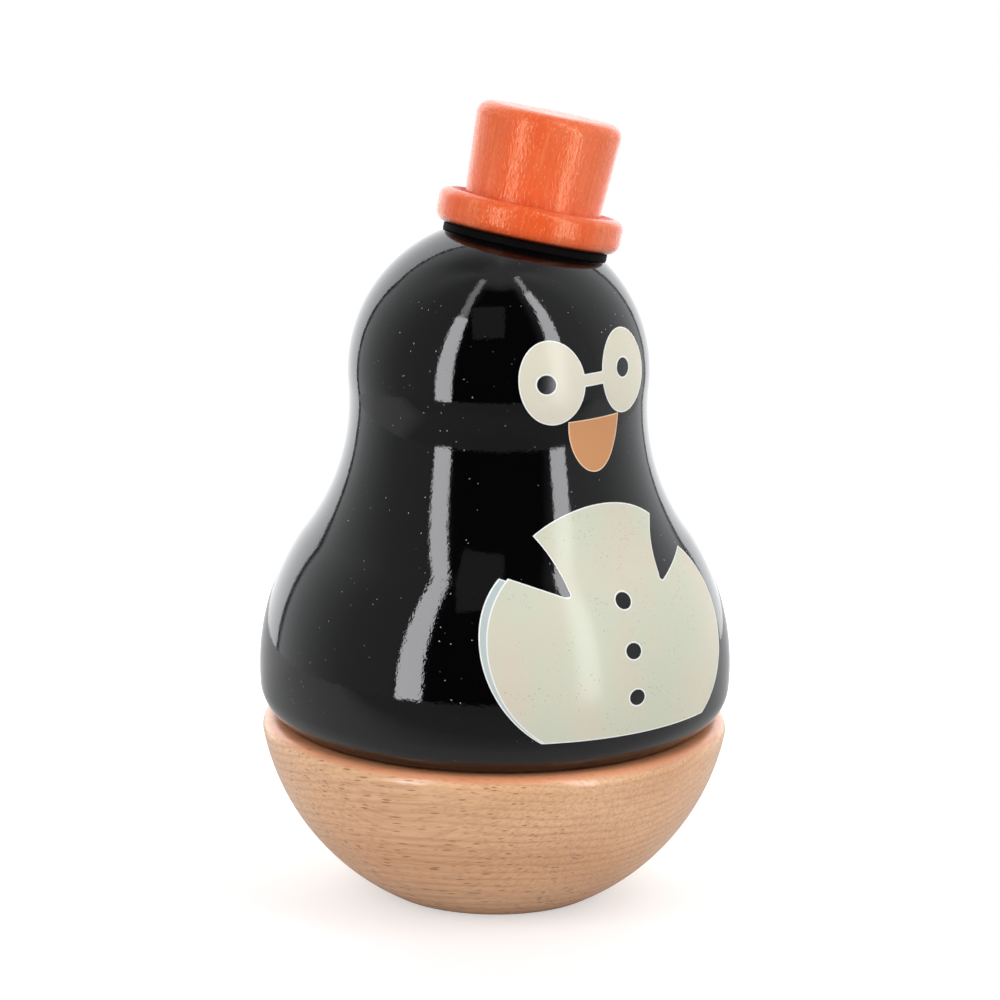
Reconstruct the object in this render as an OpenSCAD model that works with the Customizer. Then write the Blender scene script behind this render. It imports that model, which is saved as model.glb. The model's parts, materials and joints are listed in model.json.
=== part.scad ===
// Twist-to-wind music box: a turned penguin in a tall hat stands on a round-bottomed beech base.
// Turning the penguin winds a comb-and-cylinder movement that is screwed into the base.
// Millimetres. The turning axis is Z, the foot stands on Z = 0 and the penguin faces -Y.

/* [Base] */
// Radius of the ball that the base is turned from
base_ball_r = 45.75; // [43:0.25:50]
// Height of the base from its foot to its top face
base_h = 34; // [31:0.5:37]
// Radius of the circle that the foot plane cuts from the ball
foot_cut_r = 20; // [16:0.5:24]
// Rounding of the foot's edge
foot_round = 3; // [1:0.25:5]
// Rounding of the base's upper rim
rim_round = 1.5; // [0.5:0.25:3]
// Least wood left between the movement's pocket and the outside
bowl_wall = 5.35; // [3.5:0.05:6]

/* [Penguin] */
// Radius of the belly
belly_r = 45.55; // [43:0.05:48]
// Height of the belly's centre above the base's top face
belly_rise = 11.25; // [9:0.05:15]
// Rounding of the belly's lower edge
belly_round = 6; // [2:0.25:7]
// Radius of the head
head_r = 29.3; // [27:0.1:33]
// Height of the head's centre above the belly's centre
head_rise = 58.5; // [52:0.1:62]
// Radius of the hollow between head and belly
neck_r = 43.8; // [30:0.1:55]
// Gap that shows between the base and the belly
seam_gap = 0.5; // [0.3:0.1:1.5]

/* [Hat] */
// Tilt of the hat to the penguin's left
hat_tilt = 15.6; // [0:0.1:20]
// Turn of that tilt towards the penguin's back
hat_turn = 7; // [-15:0.5:15]
// Distance from the head's centre to the flat under the hat
hat_seat = 24.4; // [23:0.05:26]
// Thickness of the disc between the head and the hat
seat_disc_t = 1.5; // [0.8:0.1:2]
// Set-back of that disc's edge from the edge of the head's flat
seat_disc_in = 0.2; // [0:0.05:1]
// Radius of the brim
brim_r = 18.05; // [16:0.05:21]
// Thickness of the brim
brim_t = 6.3; // [5.5:0.1:8]
// Fall of the brim's upper face from its edge to the crown
brim_dip = 0.9; // [0:0.1:1.5]
// Rounding of the brim's upper and lower edge
brim_round = 2; // [0.5:0.1:2.5]
// Radius of the crown where it meets the brim
crown_foot_r = 13.2; // [11:0.1:14]
// Radius of the crown at its top
crown_top_r = 14.2; // [12:0.1:15]
// Height of the crown above the brim
crown_h = 18.3; // [14:0.1:22]
// Rounding of the crown's top edge
crown_round = 2.6; // [0.5:0.1:3]
// Radius of the dowel that holds the hat
dowel_r = 3; // [2:0.25:4]
// Length of the dowel in the head, and again above it
dowel_reach = 11; // [8:0.5:14]

/* [Turning fit] */
// Height of the spigot on the base that centres the penguin
spigot_h = 3; // [2:0.25:4]
// Thickness of the spigot's wall
spigot_wall = 2.6; // [2:0.1:3]
// Thickness of the glide washer on the spigot
washer_t = 0.8; // [0.5:0.1:1.2]
// Radial clearance of the penguin on the spigot
spigot_clear = 0.3; // [0.2:0.05:0.6]

/* [Bedplate] */
// Thickness of the bedplate
bed_t = 2.4; // [1.8:0.1:3]
// Room between the movement and the pocket's wall
pocket_clear = 0.9; // [0.5:0.1:1.5]
// Thickness of the posts that carry the cylinder
post_t = 1.4; // [1:0.1:2]
// Half the width of those posts
post_half_w = 2.6; // [2:0.1:3.5]
// Half the width of the bedplate under the cylinder
bed_half_w = 19.5; // [18:0.5:22]
// Distance of the two side screws from the turning axis, towards the cylinder
bed_screw_x = 8.5; // [7.5:0.1:10]
// Distance of those screws to each side
bed_screw_y = 16.2; // [15:0.1:16.6]
// Room between the spring housing and the head of the third screw
ear_gap = 3.4; // [2:0.1:5]
// Metal round that screw's head
ear_wall = 1; // [0.6:0.1:2]

/* [Spring and arbor] */
// Wall of the spring housing
housing_wall = 0.8; // [0.6:0.1:1.2]
// Thickness of the spring strip
spring_t = 0.35; // [0.25:0.05:0.5]
// Turns of the spring
spring_turns = 7; // [5:1:9]
// Radius of the arbor's lower pivot
pivot_r = 1.5; // [1.2:0.1:1.9]
// Radius of the arbor where the spring hooks on
arbor_core_r = 2.6; // [2.4:0.1:3.2]
// Radius of the arbor's upper shaft
arbor_r = 2; // [1.8:0.1:2.2]
// Radial clearance of shafts that turn in a bore
running_clear = 0.06; // [0.03:0.01:0.09]
// Wall of the arbor's sleeve that the clutch spring grips
sleeve_wall = 1.2; // [1:0.1:1.5]
// Radius of the clutch spring's wire
coil_wire_r = 0.3; // [0.25:0.01:0.33]
// Turns of the clutch spring
coil_turns = 5; // [3:1:6]
// Metal round the clutch spring's tail
lug_wall = 0.4; // [0.3:0.05:0.6]
// Length of the clutch spring's tail past the coil
tail_len = 1.6; // [1.4:0.1:2]

/* [Gear train] */
// Gear module of the crown wheel and its pinion
crown_module = 0.75; // [0.7:0.05:0.8]
// Teeth of the crown wheel
crown_teeth = 30; // [28:1:36]
// Teeth of the pinion that the crown wheel drives
crown_pinion_teeth = 12; // [10:1:14]
// Width of the crown wheel's teeth
crown_face = 1.6; // [1.2:0.1:2]
// Thickness of the crown wheel
crown_t = 1.8; // [1.4:0.1:2.4]
// Rim of the crown wheel outside its teeth
crown_rim = 0.4; // [0.3:0.1:0.8]
// Gear module of the cylinder wheel and the governor pinion
train_module = 0.35; // [0.3:0.05:0.4]
// Teeth of the cylinder wheel
cylinder_teeth = 48; // [44:1:52]
// Teeth of the governor pinion
governor_teeth = 12; // [10:1:14]
// Thickness of the cylinder wheel
train_face = 1.2; // [0.8:0.1:1.6]
// Gear module of the worm and its wheel
worm_module = 0.4; // [0.35:0.05:0.45]
// Teeth of the worm wheel
worm_teeth = 14; // [12:1:15]
// Pitch radius of the worm
worm_r = 1.3; // [1.2:0.05:1.5]

/* [Cylinder and comb] */
// Radius of the cylinder
drum_r = 6.2; // [5.8:0.1:6.4]
// Length of the cylinder
drum_len = 13.6; // [12:0.1:16]
// Height of the pins on the cylinder
pin_h = 0.7; // [0.5:0.05:0.8]
// Radius of the pins
pin_r = 0.18; // [0.12:0.01:0.22]
// Radius of the cylinder's arbor
drum_arbor_r = 1; // [0.8:0.05:1.3]
// Notes of the comb
notes = 18; // [12:1:20]
// Pins for each note
pins_per_note = 4; // [2:1:5]
// Thickness of the comb's teeth
tooth_t = 0.5; // [0.3:0.05:0.7]
// Thickness of the comb's heel
heel_t = 1.5; // [1.2:0.1:2]
// Length of the comb's longest tooth
tooth_long = 8.6; // [7.5:0.1:9]
// Length of the comb's shortest tooth
tooth_short = 6.4; // [5.5:0.1:7.5]
// Gap between the pins and the tips of the comb
pluck_clear = 0.12; // [0.08:0.01:0.3]
// Share of its pitch that a tooth of the comb fills
tooth_share = 0.68; // [0.5:0.02:0.8]
// Distance of the comb's screws behind the roots of its teeth
comb_screw_back = 1.9; // [1.6:0.1:2.2]

/* [Governor] */
// Radius of the governor's arbor
governor_arbor_r = 0.7; // [0.5:0.05:0.8]
// Radius of the air brake's arbor
fly_arbor_r = 0.5; // [0.4:0.05:0.6]
// Reach of the air brake's wings
wing_reach = 4.2; // [3.5:0.1:4.4]
// Height of the air brake's wings
wing_h = 5; // [4:0.1:6]
// Thickness of the governor frame's plates
frame_t = 1.2; // [1:0.1:1.4]
// Distance from the worm's axis to the cheeks of the frame
worm_side = 2.8; // [2.5:0.1:3.1]
// Half the width of the cheeks
cheek_half_w = 1.9; // [1.6:0.1:2.1]
// Half the width of the bridge over the air brake
bridge_half_w = 1.8; // [1.4:0.1:2.2]
// Width of the worm wheel
worm_wheel_w = 0.8; // [0.6:0.1:1]
// Length of the governor pinion past its wheel on each side
pinion_past = 0.3; // [0.1:0.05:0.4]
// Distance of the frame's screws behind the worm
frame_screw_back = 3.4; // [3:0.1:3.6]
// Distance of the frame's first screw from the worm, towards the turning axis
frame_screw_in = 2.4; // [2:0.1:3]
// Distance of the frame's second screw from the worm, the other way
frame_screw_out = 1.6; // [1.4:0.1:1.8]
// Thickness of the air brake's wings
wing_t = 0.4; // [0.3:0.05:0.6]
// Wall of the air brake's hub
hub_wall = 0.7; // [0.5:0.05:1]

/* [Driver] */
// Radius of the plywood driver in the penguin
driver_r = 26; // [20:0.5:30]
// Thickness of the driver
driver_t = 4; // [3:0.5:6]
// Radius of the circle that the driver's screws sit on
driver_screw_circle = 15; // [12:0.5:18]
// Wall of the bush that joins the driver to the arbor
bush_wall = 1.7; // [1.2:0.1:2.5]
// Width of the bush's flange
bush_flange_w = 2.4; // [1.5:0.1:3]
// Thickness of the bush's flange
bush_flange_t = 1.2; // [0.8:0.1:1.5]
// Length of the arbor past the driver
arbor_end = 3; // [1:0.25:5]
// Room round the arbor's end in the penguin
arbor_room = 2; // [1:0.25:4]

/* [Screws] */
// Radius of the machine screws
machine_screw_r = 0.8; // [0.6:0.05:0.9]
// Radius of a machine screw's head
machine_head_r = 1.4; // [1.2:0.05:1.5]
// Height of a machine screw's head
machine_head_h = 0.9; // [0.7:0.05:1.1]
// Depth of the comb's screws in their block
machine_screw_len = 3.6; // [2.5:0.1:4.5]
// Radius of the wood screws
wood_screw_r = 1.4; // [1.2:0.05:1.6]
// Radius of a wood screw's head
wood_head_r = 2.7; // [2.4:0.05:2.9]
// Height of a wood screw's head
wood_head_h = 1.6; // [1.3:0.05:1.9]
// Length of the wood screws under the head
wood_screw_len = 9; // [7:0.25:10]

/* [Hidden] */
$fn = 64;

// Length by which a cut runs past the face that it opens
past = 1;
// Clearance round a screw or pin that doesn't turn
fixed_clear = 0.05;
// Gap left between faces that pass each other
pass_gap = 0.45;

// Steps of the mainspring's spiral and of the worm's thread in a turn, and sides of that thread
spring_steps = 20;
worm_steps = 10;
worm_sides = 14;
// Degrees from one note's pins to the next, and the spread that is added to them
pin_step = 47;
pin_spread = 13;
pin_span = 60;

// Gear proportions: share of the half pitch that a tooth fills, heights in modules, pressure angle
tooth_fill = 0.8;
worm_wheel_fill = 0.72;
addendum = 0.8;
dedendum = 1.25;
pressure_angle = 20;

// Pitch radii of the train
crown_r = crown_module * crown_teeth / 2;
crown_pinion_r = crown_module * crown_pinion_teeth / 2;
cylinder_wheel_r = train_module * cylinder_teeth / 2;
governor_pinion_r = train_module * governor_teeth / 2;
worm_wheel_r = worm_module * worm_teeth / 2;
worm_lead = PI * worm_module;

// Places along the cylinder's axis, outwards from the turning axis
crown_pinion_w = crown_face + pass_gap;
pinion_x = crown_r - crown_pinion_w / 2;
inner_post_x = pinion_x + crown_pinion_w + pass_gap;
drum_x = inner_post_x + post_t + pass_gap;
wheel_x = drum_x + drum_len;
outer_post_x = wheel_x + train_face + pass_gap;
drum_arbor_end = outer_post_x + post_t + pass_gap;
bed_r = norm([drum_arbor_end, post_half_w]);
pocket_r = bed_r + pocket_clear;

// Base: the ball's centre, the pocket's floor and the spigot
ball_z = sqrt(base_ball_r ^ 2 - foot_cut_r ^ 2);
floor_z = ball_z - sqrt(base_ball_r ^ 2 - (pocket_r + bowl_wall) ^ 2);
spigot_r = pocket_r + spigot_wall;
spigot_top = base_h + spigot_h;
belly_bore_r = spigot_r + spigot_clear;

// Heights in the movement
bed_top = floor_z + bed_t;
axis_z = bed_top + cylinder_wheel_r + train_module * addendum + pass_gap;
crown_pitch_z = axis_z + crown_pinion_r;
crown_root_z = crown_pitch_z + crown_module * dedendum;
crown_top_z = crown_root_z + crown_t;
housing_top = crown_root_z - 2 * pass_gap;
housing_r = pinion_x - pass_gap;

// Clutch: a sleeve on the arbor with a close coil round it, whose turns touch
sleeve_r = arbor_r + sleeve_wall;
coil_overlap = 0.9;
coil_pitch = 2 * coil_overlap * coil_wire_r;
coil_r = sleeve_r + running_clear + coil_wire_r;
coil_z = crown_top_z + coil_wire_r;
sleeve_top = coil_z + coil_turns * coil_pitch + coil_wire_r;
coil_lug_y = -(coil_r + tail_len);

// Lightening holes of the crown wheel, in the web between its hub and its teeth
wheel_holes = 5;
web_w = crown_r - crown_face / 2 - sleeve_r;
wheel_hole_at = sleeve_r + web_w / 2 + coil_wire_r;
wheel_hole_r = web_w / wheel_holes;

// Governor: its arbor lies beside the cylinder and the worm stands outside that
governor_y = -(cylinder_wheel_r + governor_pinion_r);
worm_y = governor_y - worm_wheel_r - worm_r;
governor_pinion_w = train_face + 2 * pinion_past;
governor_pinion_x = wheel_x + (train_face - governor_pinion_w) / 2;
outer_cheek_x = governor_pinion_x - pass_gap - frame_t;
worm_x = outer_cheek_x - worm_side;
inner_cheek_x = worm_x - worm_side - frame_t;
worm_turns = 4;
worm_len = worm_turns * worm_lead;
wing_z = axis_z + worm_len / 2 + 2 * pass_gap;
bridge_z = wing_z + wing_h + 2 * pass_gap;
pillar_x = worm_x - wing_reach - pass_gap - frame_t;
governor_screw_y = worm_y - frame_screw_back;
governor_screw_xs = [worm_x - frame_screw_in, worm_x + frame_screw_out];

// Comb: tips beside the pins, heel on its block
comb_tip_y = drum_r + pin_h + pluck_clear;
comb_root_y = comb_tip_y + tooth_long;
note_pitch = (drum_len - 2 * pin_h) / notes;
comb_x = drum_x + pin_h;
tooth_w = tooth_share * note_pitch;
comb_screw_y = comb_root_y + comb_screw_back;
comb_screw_xs = [for (share = [0.2, 0.5, 0.8]) comb_x + share * notes * note_pitch];

// Where the bedplate's screws go: one in its ear and one on each side of the train
ear_x = -(housing_r + wood_head_r + ear_gap);
ear_r = wood_head_r + ear_wall;
bed_screw_points = [[ear_x, 0], [bed_screw_x, bed_screw_y], [bed_screw_x, -bed_screw_y]];

// Penguin: heights, the driver under its ceiling and the arbor's end
body_z = base_h + seam_gap;
belly_z = base_h + belly_rise;
head_z = belly_z + head_rise;
step_z = spigot_top + washer_t;
driver_z = bridge_z + frame_t + wood_head_h + pass_gap;
ceiling_z = driver_z + driver_t;
driver_screw_angles = [0, 120, 240];
bush_r = arbor_r + bush_wall;
bush_flange_r = bush_r + bush_flange_w;
arbor_top = ceiling_z + arbor_end;
arbor_room_r = arbor_r + arbor_room;

// The belly's lower edge stays clear of the bore for the spigot
belly_foot_r = sqrt(belly_r ^ 2 - (belly_z - body_z) ^ 2);
belly_flat = 1;
belly_edge = min(belly_round, belly_foot_r - belly_bore_r - belly_flat);

// Hat: the disc under it covers the head's flat up to a small set-back
seat_disc_r = sqrt(head_r ^ 2 - hat_seat ^ 2) - seat_disc_in;

// Neck: an arc that touches the belly's and the head's circles
neck_to_belly = belly_r + neck_r;
neck_to_head = head_r + neck_r;
neck_up = (neck_to_belly ^ 2 - neck_to_head ^ 2 + head_rise ^ 2) / (2 * head_rise);
neck_out = sqrt(neck_to_belly ^ 2 - neck_up ^ 2);

// Colours
beech = [0.78, 0.6, 0.46];
black_lacquer = [0.09, 0.09, 0.1];
orange_stain = [0.92, 0.43, 0.24];
brass = [0.8, 0.66, 0.36];
steel = [0.66, 0.67, 0.69];
zinc = [0.58, 0.59, 0.6];
felt = [0.5, 0.16, 0.14];
plywood = [0.8, 0.68, 0.5];
nylon = [0.93, 0.92, 0.88];

// Centre of an edge circle of radius r at height z that touches a ball from inside
function edge_centre(ball, centre_z, r, z) = [sqrt((ball - r) ^ 2 - (z - centre_z) ^ 2), z];
// Point where that circle touches the ball
function edge_touch(ball, centre_z, r, z) =
    let (c = edge_centre(ball, centre_z, r, z))
    [0, centre_z] + (c - [0, centre_z]) * ball / (ball - r);
// Half angle of a gear tooth at a radius, by the involute of its base circle
function involute(base, r) =
    r <= base ? 0 : let (a = acos(base / r)) tan(a) * 180 / PI - a;
function tooth_half(teeth, pitch, r, fill) =
    let (base = pitch * cos(pressure_angle))
    fill * 90 / teeth + involute(base, pitch) - involute(base, r);
// Outline of a spur gear with one tooth centred on the angle at
function gear_outline(teeth, mod, at, fill) =
    let (
        pitch = mod * teeth / 2,
        radii = [pitch - mod * dedendum, pitch, pitch + mod * addendum]
    )
    [
        for (i = [0 : teeth - 1], side = [-1, 1], k = [0 : 2])
            let (
                r = radii[side < 0 ? k : 2 - k],
                angle = at + i * 360 / teeth + side * tooth_half(teeth, pitch, r, fill)
            )
            r * [cos(angle), sin(angle)]
    ];

// Half disc of a ball's section between two heights
module ball_band(ball, centre_z, low, high) {
    intersection() {
        translate([0, centre_z])
            circle(ball);
        translate([0, low])
            square([ball + past, high - low]);
    }
}

// Rounded edge where a plane cuts a ball, with the section inside it; side is -1 for a plane below
module ball_edge(ball, centre_z, r, plane_z, side) {
    c = edge_centre(ball, centre_z, r, plane_z - side * r);
    t = edge_touch(ball, centre_z, r, plane_z - side * r);
    reach = 3 * r;
    polygon([[0, plane_z], [c.x, plane_z], c, t, [0, t.y]]);
    intersection() {
        translate(c)
            circle(r);
        polygon([
            c, c + [0, side * reach], c + [reach, side * reach], c + (t - c) * reach / r
        ]);
    }
}

// Turns a piece drawn along Z so that it runs along X, with its own X towards Y
module along_x() {
    rotate([90, 0, 90])
        children();
}

// Spur gear along X, from x, centred on the axis at y and z
module spur_gear(teeth, mod, at, fill, x, y, w, bore) {
    translate([x, y, axis_z])
        along_x()
            difference() {
                linear_extrude(w)
                    polygon(gear_outline(teeth, mod, at, fill));
                translate([0, 0, -past])
                    cylinder(r = bore, h = w + 2 * past);
            }
}

// Screw with a slotted pan head whose underside is at z = 0
module pan_screw(shank_r, head_r, head_h, len) {
    slot_w = head_r / 3;
    difference() {
        union() {
            cylinder(r = head_r, h = head_h);
            translate([0, 0, -len])
                cylinder(r = shank_r, h = len + head_h / 2);
        }
        translate([-head_r - past, -slot_w / 2, head_h / 2])
            cube([2 * (head_r + past), slot_w, head_h]);
    }
}

// Beech base: a ball cut flat above and below, with a pocket and a spigot
module base_bowl() {
    foot_touch = edge_touch(base_ball_r, ball_z, foot_round, foot_round);
    rim_touch = edge_touch(base_ball_r, ball_z, rim_round, base_h - rim_round);
    color(beech)
        difference() {
            union() {
                rotate_extrude() {
                    ball_edge(base_ball_r, ball_z, foot_round, 0, -1);
                    ball_band(base_ball_r, ball_z, foot_touch.y, rim_touch.y);
                    ball_edge(base_ball_r, ball_z, rim_round, base_h, 1);
                }
                translate([0, 0, base_h - spigot_h])
                    cylinder(r = spigot_r, h = 2 * spigot_h);
            }
            translate([0, 0, floor_z])
                cylinder(r = pocket_r, h = spigot_top);
            for (p = bed_screw_points)
                translate([p.x, p.y, bed_top - wood_screw_len - past])
                    cylinder(r = wood_screw_r + fixed_clear, h = wood_screw_len);
        }
}

// Felt washer on the spigot, which the penguin glides on
module glide_washer() {
    color(felt)
        translate([0, 0, spigot_top])
            difference() {
                cylinder(r = spigot_r, h = washer_t);
                translate([0, 0, -past])
                    cylinder(r = pocket_r, h = washer_t + 2 * past);
            }
}

// Post of the bedplate with a bearing for the cylinder's arbor
module bearing_post(x) {
    difference() {
        translate([x, 0, 0])
            along_x()
                linear_extrude(post_t) {
                    translate([-post_half_w, bed_top - bed_t / 2])
                        square([2 * post_half_w, axis_z - bed_top + bed_t / 2]);
                    translate([0, axis_z])
                        circle(post_half_w);
                }
        translate([x - past, 0, axis_z])
            along_x()
                cylinder(r = drum_arbor_r + running_clear, h = post_t + 2 * past);
    }
}

// Outline of the bedplate: a lobe under the spring, a broad tongue under the train and an ear
module bed_outline() {
    intersection() {
        circle(bed_r);
        union() {
            circle(housing_r + past);
            translate([0, -bed_half_w])
                square([bed_r, 2 * bed_half_w]);
            translate([ear_x, -ear_r])
                square([-ear_x, 2 * ear_r]);
            translate([ear_x, 0])
                circle(ear_r);
        }
    }
}

// Cast bedplate with bearing posts and the comb's block
module bedplate() {
    color(zinc)
        difference() {
            union() {
                translate([0, 0, floor_z])
                    linear_extrude(bed_t)
                        bed_outline();
                bearing_post(inner_post_x);
                bearing_post(outer_post_x);
                translate([0, 0, floor_z + bed_t / 2])
                    linear_extrude(axis_z - floor_z - bed_t / 2)
                        comb_heel();
            }
            translate([0, 0, floor_z - past])
                cylinder(r = pivot_r + running_clear, h = bed_t + 2 * past);
            for (p = bed_screw_points)
                translate([p.x, p.y, floor_z - past])
                    cylinder(r = wood_screw_r + fixed_clear, h = bed_t + 2 * past);
            for (x = comb_screw_xs)
                translate([x, comb_screw_y, axis_z - machine_screw_len])
                    cylinder(r = machine_screw_r + fixed_clear, h = machine_screw_len + past);
            for (x = governor_screw_xs)
                translate([x, governor_screw_y, floor_z - past])
                    cylinder(r = machine_screw_r + fixed_clear, h = bed_t + 2 * past);
        }
}

// Three wood screws that hold the bedplate in the pocket
module bedplate_screws() {
    color(steel)
        for (p = bed_screw_points)
            translate([p.x, p.y, bed_top])
                pan_screw(wood_screw_r, wood_head_r, wood_head_h, wood_screw_len);
}

// Spring housing: a cup fixed on the bedplate
module spring_housing() {
    color(brass)
        difference() {
            translate([0, 0, bed_top])
                cylinder(r = housing_r, h = housing_top - bed_top);
            translate([0, 0, bed_top + housing_wall])
                cylinder(r = housing_r - housing_wall, h = housing_top);
            translate([0, 0, bed_top - past])
                cylinder(r = pivot_r + running_clear, h = housing_wall + 2 * past);
        }
}

// Cover pressed into the mouth of the spring housing
module spring_cover() {
    color(brass)
        difference() {
            translate([0, 0, housing_top - housing_wall])
                cylinder(r = housing_r - housing_wall, h = housing_wall);
            translate([0, 0, housing_top - housing_wall - past])
                cylinder(r = arbor_r + running_clear, h = housing_wall + 2 * past);
        }
}

// Mainspring: a strip wound in a spiral from the arbor to the housing's wall
module mainspring() {
    steps = spring_steps * spring_turns;
    inner = arbor_core_r + fixed_clear;
    outer = housing_r - housing_wall - spring_t - fixed_clear;
    low = bed_top + housing_wall + fixed_clear;
    high = housing_top - housing_wall - fixed_clear;
    function strip(i, t) =
        let (a = 360 * spring_turns * i / steps, r = inner + (outer - inner) * i / steps + t)
        r * [cos(a), sin(a)];
    color(steel)
        translate([0, 0, low])
            linear_extrude(high - low)
                polygon([
                    for (i = [0 : steps]) strip(i, 0),
                    for (i = [steps : -1 : 0]) strip(i, spring_t)
                ]);
}

// Outline of the comb's heel and of the block under it
module comb_heel() {
    intersection() {
        circle(bed_r);
        translate([comb_x, comb_root_y])
            square([notes * note_pitch, bed_half_w]);
    }
}

// Steel comb: tuned teeth cut from one plate, the bass teeth longer
module comb() {
    color(steel)
        difference() {
            union() {
                translate([0, 0, axis_z])
                    linear_extrude(heel_t)
                        comb_heel();
                for (i = [0 : notes - 1])
                    let (len = tooth_long + (tooth_short - tooth_long) * i / (notes - 1))
                    translate([comb_x + i * note_pitch, comb_tip_y, axis_z]) {
                        translate([(note_pitch - tooth_w) / 2, 0, 0])
                            cube([tooth_w, tooth_long + tooth_w, tooth_t]);
                        translate([0, len, 0])
                            cube([note_pitch, tooth_long - len + tooth_w, heel_t]);
                    }
            }
            for (x = comb_screw_xs)
                translate([x, comb_screw_y, axis_z - past])
                    cylinder(r = machine_screw_r + fixed_clear, h = heel_t + 2 * past);
        }
}

// Three screws that clamp the comb on its block
module comb_screws() {
    color(steel)
        for (x = comb_screw_xs)
            translate([x, comb_screw_y, axis_z + heel_t])
                pan_screw(machine_screw_r, machine_head_r, machine_head_h,
                    machine_screw_len + heel_t - pass_gap);
}

// Cheek of the governor frame with a bearing for the governor's arbor
module governor_cheek(x) {
    translate([x, governor_y, 0])
        along_x()
            difference() {
                linear_extrude(frame_t) {
                    translate([-cheek_half_w, bed_top + frame_t / 2])
                        square([2 * cheek_half_w, axis_z - bed_top - frame_t / 2]);
                    translate([0, axis_z])
                        circle(cheek_half_w);
                }
                translate([0, axis_z, -past])
                    cylinder(r = governor_arbor_r + running_clear, h = frame_t + 2 * past);
            }
}

// Governor frame: a foot, two cheeks, and a pillar with a bridge over the air brake
module governor_frame() {
    foot_far_y = -bed_half_w;
    color(brass)
        difference() {
            union() {
                translate([0, 0, bed_top])
                    linear_extrude(frame_t)
                        intersection() {
                            circle(bed_r);
                            translate([pillar_x, foot_far_y])
                                square([
                                    outer_cheek_x + frame_t - pillar_x,
                                    governor_y + cheek_half_w - foot_far_y
                                ]);
                        }
                governor_cheek(inner_cheek_x);
                governor_cheek(outer_cheek_x);
                translate([pillar_x, worm_y - bridge_half_w, bed_top])
                    cube([frame_t, 2 * bridge_half_w, bridge_z + frame_t - bed_top]);
                translate([pillar_x, worm_y - bridge_half_w, bridge_z])
                    cube([worm_x - pillar_x, 2 * bridge_half_w, frame_t]);
                translate([worm_x, worm_y, bridge_z])
                    cylinder(r = bridge_half_w, h = frame_t);
            }
            translate([worm_x, worm_y, bed_top + frame_t / 4])
                cylinder(r = fly_arbor_r + running_clear, h = bridge_z + frame_t);
            for (x = governor_screw_xs)
                translate([x, governor_screw_y, bed_top - past])
                    cylinder(r = machine_screw_r + fixed_clear, h = frame_t + 2 * past);
        }
}

// Two screws that hold the governor frame on the bedplate
module governor_screws() {
    color(steel)
        for (x = governor_screw_xs)
            translate([x, governor_screw_y, bed_top + frame_t])
                pan_screw(machine_screw_r, machine_head_r, machine_head_h, frame_t + bed_t - pass_gap);
}

// Crown wheel, loose on the arbor, with its teeth facing down
module drive_wheel() {
    half = tooth_fill * PI * crown_module / 4;
    lean = tan(pressure_angle);
    tip = crown_module * addendum;
    root = crown_module * dedendum;
    sunk = root + crown_t / 4;
    lug_r = coil_wire_r + lug_wall;
    color(brass)
        difference() {
            union() {
                translate([0, 0, crown_root_z])
                    cylinder(r = crown_r + crown_face / 2 + crown_rim, h = crown_t);
                for (i = [0 : crown_teeth - 1])
                    rotate([0, 0, i * 360 / crown_teeth])
                        translate([crown_r - crown_face / 2, 0, crown_pitch_z])
                            along_x()
                                linear_extrude(crown_face)
                                    polygon([
                                        [-half + tip * lean, -tip],
                                        [half - tip * lean, -tip],
                                        [half + root * lean, root],
                                        [half + root * lean, sunk],
                                        [-half - root * lean, sunk],
                                        [-half - root * lean, root]
                                    ]);
                translate([coil_r, coil_lug_y, crown_top_z - crown_t / 2])
                    cylinder(r = lug_r, h = crown_t / 2 + 4 * coil_wire_r);
            }
            translate([0, 0, crown_root_z - past])
                cylinder(r = arbor_r + running_clear, h = crown_t + 2 * past);
            translate([0, 0, crown_root_z - past])
                for (i = [0 : wheel_holes - 1])
                    rotate([0, 0, (i + 0.5) * 360 / wheel_holes])
                        translate([wheel_hole_at, 0, 0])
                            cylinder(r = wheel_hole_r, h = crown_t + 2 * past);
            clutch_tail(fixed_clear);
        }
}

// Straight tail of the clutch spring, grown by a clearance
module clutch_tail(grow) {
    translate([coil_r, 0, coil_z])
        rotate([90, 0, 0])
            cylinder(r = coil_wire_r + grow, h = -coil_lug_y + grow);
}

// Clutch spring: a close coil that grips the arbor's sleeve one way only
module clutch_spring() {
    color(steel) {
        for (i = [0 : coil_turns - 1])
            translate([0, 0, coil_z + i * coil_pitch])
                rotate_extrude()
                    translate([coil_r, 0])
                        circle(coil_wire_r);
        clutch_tail(0);
    }
}

// Section of the penguin: belly with a rounded lower edge, hollow neck and round head
module penguin_section() {
    belly_touch = edge_touch(belly_r, belly_z, belly_edge, body_z + belly_edge);
    neck_low = [neck_out, neck_up] * belly_r / neck_to_belly + [0, belly_z];
    neck_high = [neck_out, neck_up - head_rise] * head_r / neck_to_head + [0, head_z];
    ball_edge(belly_r, belly_z, belly_edge, body_z, -1);
    ball_band(belly_r, belly_z, belly_touch.y, neck_low.y);
    difference() {
        polygon([[0, belly_z], neck_low, neck_high, [0, head_z + head_r / 2]]);
        translate([neck_out, belly_z + neck_up])
            circle(neck_r);
    }
    ball_band(head_r, head_z, neck_high.y, head_z + head_r + past);
}

// Places a piece on the hat's axis, measured from the head's centre
module on_hat_axis() {
    translate([0, 0, head_z])
        rotate([0, hat_tilt, hat_turn])
            children();
}

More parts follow.
